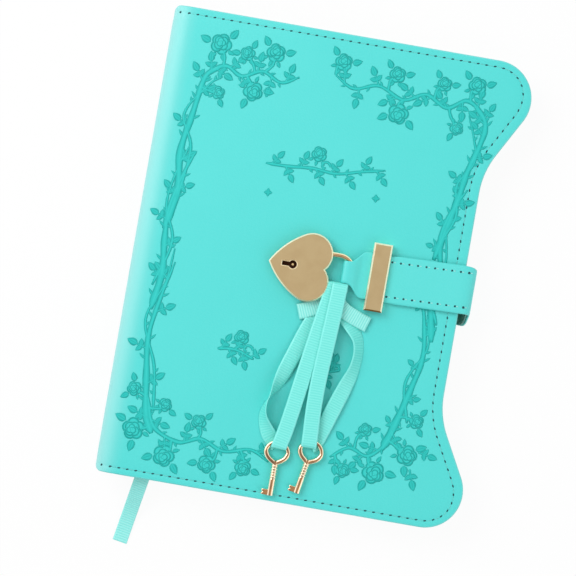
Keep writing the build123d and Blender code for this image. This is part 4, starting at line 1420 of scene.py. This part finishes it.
@dataclass
class KeyRibbons:
    """The ribbon looped over the shackle: a strip to each key and back, and the knot with two tails."""

    finishes: Finishes
    left: Ribbon = Ribbon("key_ribbon_left_strip", (
        (93.4, -8.6, 1.3, 0, 0), (93.1, -5.4, 1.1, 0, 0), (92.9, -4.4, 3.0, 0, 0), (92.8, -5.0, 4.8, -2, 0),
        (92.3, -9.5, 5.0, -6, 0), (88.3, -35.0, 4.6, -9, 0), (84.8, -60.0, 4.2, -9, 0),
        (82.6, -75.0, 3.9, -7, 0), (81.4, -80.0, 3.75, -5, 0), (80.9, -82.9, 3.7, -2, 0),
        (80.85, -83.2, 2.0, 0, 0), (80.9, -82.8, 0.5, 4, 0), (79.4, -81.2, 0.7, 22, 0),
        (75.8, -78.2, 1.4, 34, 12), (72.7, -73.0, 2.6, 20, 42),
        (71.1, -68.3, 3.4, 5, 66), (71.8, -63.2, 3.8, -8, 84), (73.6, -59.5, 3.6, -12, 100),
        (75.8, -54.0, 3.0, -17, 135), (77.6, -48.5, 2.5, -18, 160), (80.6, -39.5, 1.8, -19, 178),
        (85.0, -25.5, 1.3, -24, 180), (90.2, -14.0, 1.2, -27, 180)))
    right: Ribbon = Ribbon("key_ribbon_right_strip", (
        (96.0, -8.6, 1.3, 0, 0), (95.8, -5.4, 1.1, 0, 0), (95.7, -4.2, 3.0, 0, 0), (95.7, -5.0, 5.8, 0, 0),
        (95.6, -10.0, 6.0, -2, 0), (94.5, -32.0, 5.4, -4, 0), (93.4, -50.0, 4.8, -3, 0),
        (93.4, -63.0, 4.4, 0, 0), (94.1, -75.0, 4.0, 1, 0), (94.2, -80.0, 3.75, 0, 0),
        (94.2, -80.5, 2.0, 0, 0), (94.3, -80.0, 0.5, 0, 0),
        (96.7, -78.4, 0.7, -18, 0), (99.2, -71.4, 1.3, -28, 0), (102.4, -61.0, 1.8, -30, -2),
        (106.2, -49.5, 2.3, -25, -20), (108.9, -41.0, 2.8, -8, -48), (109.2, -32.0, 2.8, 0, -52),
        (106.8, -25.6, 2.2, 20, -36), (98.6, -17.4, 1.4, 44, -8)))
    left_tail: Ribbon = Ribbon("tail_left", (
        (95.0, -8.6, 2.7, -60, 0), (92.2, -13.0, 2.6, -66, 0), (86.4, -17.8, 1.7, -70, 0),
        (79.0, -20.6, 1.1, -72, 0)), rib=1.1)
    right_tail: Ribbon = Ribbon("tail_right", (
        (94.6, -11.6, 3.0, 48, 0), (96.9, -15.2, 3.3, 57, 0), (103.6, -18.7, 2.7, 63, 0),
        (111.2, -21.0, 1.5, 64, 0)), rib=1.1)

    def build(self) -> None:
        for ribbon, node in ((self.left, "key_ribbon_left"), (self.right, "key_ribbon_right")):
            path, across, far = ribbon.lines()
            thing = ribbon.band(path, across, far).piece(ribbon.name, self.finishes.ribbon)
            place(thing, Body.STRAP, [node])
        knot = Shell()
        for tail in (self.left_tail, self.right_tail):
            path, across, far = tail.lines()
            band = tail.band(path, across, far)
            section = band.points[0].reshape(len(path), -1, 3)
            spread = np.linspace(0.0, tail.width, section.shape[1] + 1)
            tone = band.tones[0].reshape(len(path), -1)
            knot.grids(section, tone, stack(far[:, None], spread), wrap=True, caps=True)
        self.wrap(knot)
        place(knot.piece("ribbon_knot_wrap", self.finishes.tails), Body.STRAP, ["ribbon_knot"])

    def wrap(self, knot: Shell) -> None:
        """Adds the turns of ribbon round the shackle's lower leg.

        A sleeve round the straight leg and the start of its bend, with low ribs and a shallow lap that goes
        once round, closed at both ends.

        Args:
            knot: the shell to add to.
        """
        bend, radius, level, line = 10.03, 6.9, 22.71, 0.8
        bore, girth, lap, lap_turn, rib, rise = 1.35, 1.85, 0.1, 0.8, 1.55, 0.06
        run = np.linspace(7.78, 11.9, 22)
        turn = np.clip((run - bend) / radius, 0.0, None)
        middle = stack(np.minimum(run, bend) + radius * np.sin(turn), line - radius * np.cos(turn), level)
        aside = stack(np.sin(turn), -np.cos(turn), 0.0)
        angle = circle(24)
        outer = girth + lap * np.cos(angle - lap_turn) + rise * np.cos(2 * math.pi * run / rib)[:, None]
        end = np.full((1, len(angle)), bore)
        radii = np.concatenate([end, outer, end])
        middle = np.concatenate([middle[:1], middle, middle[-1:]])
        aside = np.concatenate([aside[:1], aside, aside[-1:]])
        spoke = np.cos(angle)[:, None] * aside[:, None] + np.sin(angle)[:, None] * np.array([0.0, 0.0, 1.0])
        ring = middle[:, None] + radii[..., None] * spoke
        knot.grids(np.concatenate([ring, ring[:1]]), 0.4, wrap=True)


@dataclass
class Bookmark:
    """Ribbon bookmark between the leaves, falling over the tail edge to the table."""

    finishes: Finishes
    width: float = 6.8
    thickness: float = 0.3
    sides: tuple = ((0.0, 0.7), (0.5, 1.0))
    rib: float = 1.15
    rise: float = 0.04
    pitch: float = 0.2
    places: tuple = (
        (-72.2, 94.9, 11.15), (-62.2, 56.2, 11.15), (-55.6, 16.8, 11.15), (-52.8, -23.1, 11.15),
        (-54.1, -63.1, 11.15), (-60.2, -99.6, 11.15), (-62.5, -112.6, 11.0), (-65.2, -126.2, 0.7),
        (-67.5, -140.0, 0.45))

    def build(self) -> None:
        path, _, far = evenly(spline_points(np.array(self.places)), [], self.pitch)
        ahead = unit(np.gradient(path, axis=0))
        across = unit(stack(-ahead[:, 1], ahead[:, 0], 0.0))
        band = strip(path, across, self.width, self.thickness, far, self.sides, self.rib, self.rise)
        thing = band.piece("bookmark_band", self.finishes.bookmark)
        place(thing, Body.BOOK, ["bookmark_ribbon"])


@dataclass
class Strap:
    """Leather strap from the back cover round the fore edge, its tongue folded round the shackle.

    The middle lines of the two layers are given in x and z, and every range but the heights is one of x.
    """

    finishes: Finishes
    width: float = 21.9
    tongue: float = 10.2
    line: float = 0.8
    thickness: float = 1.1
    lining: float = 1.0
    lining_inset: float = 0.15
    sides: tuple = ((0.0, 0.15), (0.2, 0.6), (0.6, 0.88), (1.5, 1.0))
    edge_rub: float = 0.4
    step: float = 0.6
    slimming: float = 0.8
    slim_range: Pair = (32.6, 38.0)
    tongue_range: Pair = (17.2, 23.6)
    flap_range: Pair = (14.6, 21.8)
    taper: float = 1.15
    flap_end: float = 0.3
    flap_thins: Pair = (17.0, 23.5)
    skew: float = -4.2
    skew_range: Pair = (60.0, 70.0)
    skew_top: float = COVER_TOP + 1.0
    skew_drop: float = 18.0
    lean: float = 1.3
    lean_start: float = 33.0
    lean_run: float = 37.0
    fold_start: float = 66.4
    fold_run: float = 6.5
    fold_heights: Pair = (14.0, 20.0)
    fold_draw: float = 1.8
    stitch_start: float = 33.7
    stitch_pitch: float = 3.9
    stitch_count: int = 10
    stitch_side: float = 7.9
    stitch_rise: float = 0.51
    stitch_run: Pair = (1.15, 1.1)
    stitch_hole: tuple[float, float, float] = (0.62, 0.6, 0.0)
    crown_height: float = 18.0
    bend_rise: float = 0.12
    bend_range: Pair = (65.0, 68.5)
    outer_line: tuple = (
        (67.7, 1.05), (69.2, 1.05), (70.9, 2.4), (71.9, 5.4), (72.25, 9.4), (72.25, 13.0), (72.25, 16.2),
        (72.0, 19.0), (70.6, 20.75), (68.2, 21.5), (65.0, 21.71), (60.0, 21.71), (48.0, 21.71), (34.0, 21.71),
        (25.0, 21.71), (22.6, 21.66), (20.0, 20.72), (16.6, 20.66), (13.2, 20.66), (12.45, 21.3),
        (12.45, 22.8), (12.45, 24.3), (13.3, 24.78), (14.8, 24.78), (17.0, 24.2), (19.2, 23.0),
        (20.8, 22.47), (24.3, 22.45))
    inner_line: tuple = (
        (67.7, 2.1), (68.7, 2.1), (70.0, 3.2), (70.9, 5.8), (71.2, 9.4), (71.2, 13.0), (71.2, 16.0),
        (70.95, 18.4), (69.75, 19.8), (67.8, 20.46), (65.0, 20.66), (60.0, 20.66), (48.0, 20.66),
        (34.0, 20.66), (21.2, 20.66))

    def middle(self, line: Sequence[Pair]) -> np.ndarray:
        """The spline of a layer's middle line."""
        x, z = np.array(line, float).T
        return spline_points(stack(x, self.line, z), 40)

    def band(self, line: Sequence[Pair], thickness: float, shrink: float = 0.0) -> Shell:
        """A layer of the strap: a strip along its middle line, drawn to the tongue left of the keeper.

        Past the shackle the flap thins under the keeper. The strap leans from the keeper to the fore edge, is
        skewed as it goes down, and its upper corner is drawn in at the fold.

        Args:
            line: middle line in x and z.
            thickness: thickness of the layer.
            shrink: how far its edges stand in.

        Returns:
            The shell.
        """
        path, _, far = evenly(self.middle(line), [], self.step)
        past = np.arange(len(path)) > np.argmin(path[:, 0])
        x, z = path[:, 0], path[:, 2]
        full = self.width - 2 * shrink - self.slimming * (1 - smooth(x, *self.slim_range))
        share = np.where(past, smooth(x, *self.flap_range), smooth(x, *self.tongue_range)) ** self.taper
        width = self.tongue + (full - self.tongue) * share
        thinned = thickness - (thickness - self.flap_end) * smooth(x, *self.flap_thins)
        down = smooth(self.skew_top - z, 0.0, self.skew_drop) * smooth(x, *self.skew_range)
        bend = np.clip((x - self.fold_start) / self.fold_run, 0.0, 1.0)
        draw = self.fold_draw * (1 - np.sqrt(1 - bend**2)) * smooth(z, *self.fold_heights)
        path[:, 1] += self.skew * down + self.drift(x) * (1 - down) - draw / 2
        across = np.broadcast_to(np.array([0.0, 1.0, 0.0]), path.shape)
        shell = strip(path, across, width - draw, np.where(past, thinned, thickness), far, self.sides)
        paling = np.zeros((len(path), len(shell.tones[0]) // len(path)))
        turn = paling.shape[1] // 2
        paling[:, [0, turn - 1, turn, -1]] = self.edge_rub
        shell.tones[0] = paling.ravel()
        return shell

    def drift(self, x: np.ndarray) -> np.ndarray:
        """Sideways lean of the strap at x: nothing at the keeper, all of it at the fore edge."""
        return self.lean * np.clip((x - self.lean_start) / self.lean_run, 0.0, 1.0)

    def build(self) -> None:
        """Builds the outer leather, the lining and the two rows of stitches."""
        outer = self.band(self.outer_line, self.thickness)
        place(outer.piece("strap_leather", self.finishes.strap), Body.STRAP, ["strap_outer"], 50)
        lining = self.band(self.inner_line, self.lining, self.lining_inset)
        thing = lining.piece("strap_inner_leather", self.finishes.inside)
        place(thing, Body.STRAP, ["strap_lining"], 50)
        self.seams()

    def seams(self) -> None:
        """Two rows of stitches from the keeper to the fore edge, on the upper run of the outer leather."""
        crown = self.middle(self.outer_line)
        crown = crown[: np.argmin(crown[:, 0])]
        crown = crown[crown[:, 2] > self.crown_height][::-1]
        x = self.stitch_start + self.stitch_pitch * np.arange(self.stitch_count)
        over = self.stitch_rise + self.bend_rise * smooth(x, *self.bend_range)
        z = np.interp(x, crown[:, 0], crown[:, 2]) + over
        sides = (self.stitch_side, -self.stitch_side)
        spots = np.concatenate([stack(x, self.line + side + self.drift(x), z) for side in sides])
        heading = np.full(len(spots), math.atan2(self.lean, self.lean_run))
        # short pale runs just after each hole: painted glints of the thread
        seam = stitches(spots, heading, self.stitch_run, 1.0, self.stitch_hole)
        place(seam.piece("strap_stitching", self.finishes.glinting_thread), Body.STRAP)


@dataclass
class Pages:
    """The sewn block with its leaves, the liner on its back and the two end bands."""

    finishes: Finishes
    left: float = box_end("signatures", 0, 0)
    right: float = box_end("signatures", 1, 0)
    half: float = box_end("signatures", 1, 1)
    leaf: float = 0.17
    leaf_step: float = 0.12
    leaf_shade: float = 0.9
    uneven: float = 0.07
    uneven_turn: float = 2.3
    heights: tuple = ((3.4, 10.9), (11.41, 15.88))
    band_spot: Pair = (-78.8, 104.4)
    band_heights: Pair = (3.4, 15.91)
    band_radius: float = 0.84
    band_twist: float = 0.06
    band_pitch: float = 2.4
    liner_half: float = 105.3
    liner_heights: Pair = (3.5, 15.85)
    liner_faces: Pair = (-80.25, -79.72)
    liner_wave: float = 0.04
    liner_yarns: Pair = (3.5, 1.2)

    def stack_of_leaves(self, shell: Shell, low: float, high: float) -> None:
        """Closed stack between two heights whose edges step in and out leaf by leaf, with the rows between
        leaves painted darker as shade.

        Args:
            shell: the shell to add to.
            low: lowest z.
            high: highest z.
        """
        count = int((high - low) / self.leaf)
        z = np.linspace(low, high, 2 * count + 1)
        between = np.arange(len(z)) % 2 == 0
        wander = self.uneven * np.sin(z * self.uneven_turn)
        draw = np.where(between, self.leaf_step, 0.0) + wander + self.uneven
        t = np.linspace(0.0, 1.0, 13)[:-1]
        wide, tall = self.right - self.left, 2 * self.half
        loop = np.concatenate([
            stack(self.left + wide * t, -self.half), stack(self.right, -self.half + tall * t),
            stack(self.right - wide * t, self.half), stack(self.left, self.half - tall * t)])
        centre = np.array([(self.left + self.right) / 2, 0.0])
        size = np.array([wide, tall]) / 2
        inward = (size - draw[:, None]) / size
        ring = centre + (loop - centre) * inward[:, None, :]
        body = stack(ring[..., 0], ring[..., 1], z[:, None])
        shell.grids(body, np.where(between, self.leaf_shade, 0.0)[:, None], wrap=True, caps=True)

    def build(self) -> None:
        """Builds the block, the liner and the bands."""
        block = Shell()
        for low, high in self.heights:
            self.stack_of_leaves(block, low, high)
        place(block.piece("page_block", self.finishes.page), Body.BOOK, ["signatures"], 60)
        self.liner()
        x, y = self.band_spot
        self.band("head_band", x, y)
        self.band("tail_band", x, -y)

    def band(self, node: str, x: float, y: float) -> None:
        """A twisted roll of cloth at one end of the block's back, of three strands that lie band_pitch apart.

        Args:
            node: the node that it stands for.
            x: place of its middle.
            y: place of its middle.
        """
        z = np.linspace(*self.band_heights, 64)[:, None]
        angle = circle(16)
        radius = self.band_radius + self.band_twist * np.cos(3 * angle + 2 * math.pi * z / self.band_pitch)
        roll = Shell()
        tube = stack(x + radius * np.cos(angle), y + radius * np.sin(angle), z)
        roll.grids(tube, wrap=True, caps=True)
        place(roll.piece(node + "_roll", self.finishes.cloth), Body.BOOK, [node], 60)

    def liner(self) -> None:
        """Cloth glued on the back of the block: a slab whose outer face waves with its yarns."""
        y = np.linspace(-self.liner_half, self.liner_half, 120)[:, None]
        z = np.linspace(*self.liner_heights, 26)
        turns = y / self.liner_yarns[0], z / self.liner_yarns[1]
        wave = self.liner_wave * np.cos(2 * math.pi * turns[0]) * np.cos(2 * math.pi * turns[1])
        outer = stack(self.liner_faces[0] - wave, y, z)
        inner = stack(self.liner_faces[1] + 0 * wave, y, z[::-1])
        cloth = Shell()
        cloth.grids(np.concatenate([outer, inner], 1), wrap=True, caps=True)
        place(cloth.piece("spine_cloth", self.finishes.cloth), Body.BOOK, ["spine_liner"], 60)


@dataclass(frozen=True)
class Key:
    """One key: a wire bow drawn in to a throat, a ridged neck, a bored barrel and a notched bit.

    Its own frame has the middle of the bow's circle as origin and the shaft along -Y. It is turned by lean in
    degrees and moved to its spot.
    """

    name: str
    body: Body
    node: str
    spot: tuple[float, float, float]
    lean: float
    bow: float = 5.144
    throat: tuple = ((5.0, 0.35), (4.6, -0.95), (3.8, -2.15), (2.65, -3.1), (1.35, -3.85), (0.3, -4.6))
    wire: float = 1.0
    wire_growth: float = 0.22
    wire_range: Pair = (6.3, 8.6)
    shaft: Pair = (3.4, 19.3)
    chamfer: float = 0.3
    mouth: float = 1.3
    bore: float = 0.8
    bore_end: float = 15.0
    neck: Pair = (5.3, 11.5)
    neck_radius: float = 1.32
    ridge: float = 0.36
    ridge_pitch: float = 1.24
    barrel_growth: float = 0.16
    barrel_range: Pair = (11.4, 12.0)
    bit_middle: float = 18.0
    bit_half: float = 1.3
    bit_reach: float = 4.2
    bit_thick: float = 0.8
    notch: Pair = (0.6, 0.3)

    def wire_loop(self, turn: np.ndarray) -> tuple[np.ndarray, np.ndarray, np.ndarray]:
        """The bow, a round tube along a spline that keeps a circle of 5.1 over the ribbon.

        Args:
            turn: angles round a section.

        Returns:
            x, y and z of a closed surface in the key's own frame.
        """
        angles = np.radians(np.arange(0.0, 76.0, 15.0))
        half = np.concatenate([self.bow * stack(np.sin(angles), np.cos(angles)), self.throat])
        loop = np.concatenate([half[:0:-1] * (-1, 1), half])
        path, _, far = evenly(spline_points(np.column_stack([loop, 0.0 * loop[:, 0]]), 8), [], 0.35)
        ahead = unit(np.gradient(path, axis=0))
        wire = self.wire + self.wire_growth * smooth(np.abs(far - far[-1] / 2), *self.wire_range)[:, None]
        out = wire * np.cos(turn)
        return path[:, :1] + ahead[:, 1:2] * out, path[:, 1:2] - ahead[:, :1] * out, wire * np.sin(turn)

    def barrel(self, turn: np.ndarray) -> tuple[np.ndarray, np.ndarray, np.ndarray]:
        """The turned shaft, with ridges of ridge times sin^2 on its neck and a blind bore in its end.

        Args:
            turn: angles round a section.

        Returns:
            x, y and z of a closed surface in the key's own frame.
        """
        top, end = self.shaft
        along = np.concatenate([np.linspace(top, end - self.chamfer, 126), [end, end, self.bore_end]])
        on_neck = (along > self.neck[0]) & (along < self.neck[1])
        ridges = np.sin(math.pi * (along - self.neck[0]) / self.ridge_pitch) ** 2 * on_neck
        plain = self.neck_radius + self.barrel_growth * smooth(along, *self.barrel_range)
        radius = plain + self.ridge * ridges
        radius[-3:] = (self.mouth, self.bore, self.bore)
        return radius[:, None] * np.cos(turn), -along[:, None], radius[:, None] * np.sin(turn)

    def bit(self, turn: np.ndarray) -> tuple[np.ndarray, np.ndarray, np.ndarray]:
        """The notched bit, whose sections are rounded rectangles, |x|^4 + |z|^4 = 1.

        They shrink by (1 - t^8)^(1/8) at its ends, and its reach dips by exp(-(y / width)^2) at the notch.

        Args:
            turn: angles round a section.

        Returns:
            x, y and z of a closed surface in the key's own frame.
        """
        across = np.sin(np.linspace(-math.pi / 2, math.pi / 2, 31))[:, None]
        depth, width = self.notch
        half = (self.bit_reach - depth * np.exp(-((self.bit_half * across / width) ** 2))) / 2
        full = (1.0 - across**8) ** 0.125
        flat, thick = (np.sign(wave) * np.sqrt(np.abs(wave)) for wave in (np.cos(turn), np.sin(turn)))
        x, z = half * (full * flat - 1.0), self.bit_thick * full * thick
        return x, self.bit_half * across - self.bit_middle, z

    def build(self, material: bpy.types.Material) -> None:
        """Builds the key as one piece in place of its node.

        Args:
            material: its finish.
        """
        shell = Shell()
        turn = circle(20)
        for x, y, z in (self.wire_loop(turn), self.barrel(turn), self.bit(turn)):
            solid = stack(*turned(x, y, math.radians(self.lean)), z) + np.array(self.spot)
            shell.grids(solid, wrap=True, caps=True)
        place(shell.piece(self.name, material), self.body, (self.node,), sharp=50.0)


@dataclass
class Hardware:
    """The keys, and the metal nodes and flat sheets whose solids are right: finishes and softened edges."""

    finishes: Finishes
    keys: tuple[Key, ...] = (
        Key("left_key_form", Body.LEFT_KEY, "key_left", (-2.9, -85.3, 22.06), 0.0),
        Key("right_key_form", Body.RIGHT_KEY, "key_right", (12.0, -82.5, 22.06), -9.7),
    )
    keeper_bevel: float = 0.45

    def dress(self, node: str, material: bpy.types.Material) -> bpy.types.Object:
        """Gives a node its finish and returns it.

        Args:
            node: name of the node.
            material: its finish.

        Returns:
            The node's object.
        """
        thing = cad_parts[node]
        thing.data.materials.clear()
        thing.data.materials.append(material)
        log.info("%s dressed with %s", node, material.name)
        return thing

    def soften(self, thing: bpy.types.Object, bevel: float) -> None:
        """Rounds the hard edges of a node.

        Args:
            thing: the node's object.
            bevel: width of the rounding in millimetres.
        """
        weld = thing.modifiers.new("weld", "WELD")
        weld.merge_threshold = 1e-6
        soft = thing.modifiers.new("soft_edges", "BEVEL")
        soft.width = bevel * MM
        soft.segments = 3
        soft.limit_method = "ANGLE"
        soft.angle_limit = math.radians(35)
        soft.harden_normals = True

    def build(self) -> None:
        """Makes the keys and dresses every node that stays."""
        made = self.finishes
        for key in self.keys:
            key.build(made.key)
        self.soften(self.dress("strap_keeper", made.bar), self.keeper_bevel)
        for material, nodes in (
            (made.gold, ("padlock_face",)),
            (made.case, ("padlock_case",)),
            (made.bright, ("shackle",)),
            (made.steel, ("keeper_screws", "key_post", "pivot_pin", "latch_spring")),
            (made.board, ("front_board", "back_board")),
            (made.lining, ("front_lining", "back_lining")),
            (made.leaf, ("title_leaf",)),
            (made.endpaper, ("front_flyleaf", "back_flyleaf")),
        ):
            for node in nodes:
                self.dress(node, material)


@dataclass(frozen=True)
class Studio:
    """White table, soft light from the upper left and the camera straight above.

    A lamp is its name, its place in metres, the side of its square in metres and its power in watts.
    """

    turn: float = 9.905
    middle: Pair = (-10.8, -10.8)
    lens: float = 120.0
    sensor: float = 36.0
    height: float = 870.7
    ambient: float = 0.6
    cap: float = 1.09
    cap_range: Pair = (0.88, 0.975)
    screen: float = 1.15
    screen_range: Pair = (0.4, 0.72)
    gap: float = 0.32
    table_half: float = 3.0
    table_level: float = -0.0002
    table_glow: float = 0.93
    lamps: tuple = (("window", (-0.62, 0.38, 0.85), 0.7, 6.3), ("fill", (0.7, -0.5, 0.9), 0.9, 2.4))

    def floor(self) -> None:
        """Large white table that reads as white to the camera and keeps a faint shadow."""
        mesh = bpy.data.meshes.new("table")
        signs = ((-1, -1), (1, -1), (1, 1), (-1, 1))
        corners = [(x * self.table_half, y * self.table_half, self.table_level) for x, y in signs]
        mesh.from_pydata(corners, [], [(0, 1, 2, 3)])
        made = Recipe("white_table")
        made.set(Base_Color=(0.9, 0.9, 0.9, 1.0), Roughness=0.9)
        glow = made.add("Emission", {"Color": WHITE, "Strength": 1.0}).outputs[0]
        rays = made.add("LightPath").outputs
        seen = made.reckon("MAXIMUM", rays["Is Camera Ray"], rays["Is Glossy Ray"])
        seen = made.reckon("MAXIMUM", seen, rays["Is Transmission Ray"])
        share = made.reckon("MULTIPLY", seen, self.table_glow)
        both = made.add("MixShader", {0: share, 1: made.shader.outputs[0], 2: glow}).outputs[0]
        made.tree.links.new(both, made.output.inputs[0])
        mesh.materials.append(made.material)
        table = bpy.data.objects.new("table", mesh)
        bpy.context.scene.collection.objects.link(table)

    def sky(self, world: bpy.types.World) -> None:
        """Even pale surround for plain light and white to the camera.

        What metal mirrors is a bright cap overhead and a bright screen low at the head and on each side,
        with a dim ring between and a dim foot.

        Args:
            world: the world whose background is set.
        """
        tree = world.node_tree

        def span(value: Any, low: Any, high: Any, start: float = 0.0, end: float = 1.0) -> Any:
            """Value from start..end stretched to low..high."""
            limits = {"From Min": start, "From Max": end, "To Min": low, "To Max": high}
            return add_node(tree, "MapRange", {"Value": value, **limits}).outputs["Result"]

        rays = add_node(tree, "LightPath").outputs
        way = add_node(tree, "SeparateXYZ", {0: add_node(tree, "TexCoord").outputs["Generated"]}).outputs
        aside = add_node(tree, "Math", {0: way["X"]}, operation="ABSOLUTE").outputs[0]
        sideways = add_node(tree, "Math", {0: aside, 1: way["Y"]}, operation="MAXIMUM").outputs[0]
        screens = span(sideways, self.gap, self.screen, *self.screen_range)
        mirrored = span(way["Z"], screens, self.cap, *self.cap_range)
        lit = span(rays["Is Glossy Ray"], self.ambient, mirrored)
        back = tree.nodes["Background"]
        back.inputs["Color"].default_value = WHITE
        tree.links.new(span(rays["Is Camera Ray"], lit, 1.0), back.inputs["Strength"])

    def lamp(self, name: str, place_at: tuple[float, float, float], size: float, watts: float) -> None:
        """A soft square lamp aimed at the diary.

        Args:
            name: name of the lamp.
            place_at: its place in metres.
            size: side of the square in metres.
            watts: its power.
        """
        light = bpy.data.lights.new(name, "AREA")
        light.size = size
        light.energy = watts
        thing = bpy.data.objects.new(name, light)
        bpy.context.scene.collection.objects.link(thing)
        thing.location = place_at
        thing.rotation_euler = (-Vector(place_at)).to_track_quat("-Z", "Y").to_euler()

    def build(self) -> None:
        """Builds the table, the lamps, the world and the camera."""
        self.floor()
        world = bpy.data.worlds.new("studio")
        bpy.context.scene.world = world
        world.use_nodes = True
        self.sky(world)
        for lamp in self.lamps:
            self.lamp(*lamp)
        lens = bpy.data.cameras.new("camera")
        lens.lens = self.lens
        lens.sensor_width = self.sensor
        camera = bpy.data.objects.new("camera", lens)
        bpy.context.scene.collection.objects.link(camera)
        camera.location = (self.middle[0] * MM, self.middle[1] * MM, (COVER_TOP + self.height) * MM)
        camera.rotation_euler = (0.0, 0.0, math.radians(self.turn))
        bpy.context.scene.camera = camera
        bpy.context.scene.view_settings.view_transform = "Standard"


def main() -> None:
    """Builds the diary's sub-assemblies in order."""
    logging.basicConfig(level=logging.INFO, format="%(name)s: %(message)s")
    finishes = Finishes()
    for part in (Hardware(finishes), Covers(finishes), Ornament(finishes), Pages(finishes), Strap(finishes),
                 KeyRibbons(finishes), Bookmark(finishes), Studio()):
        part.build()
        log.info("%s built", type(part).__name__)


if __name__ == "__main__":
    main()
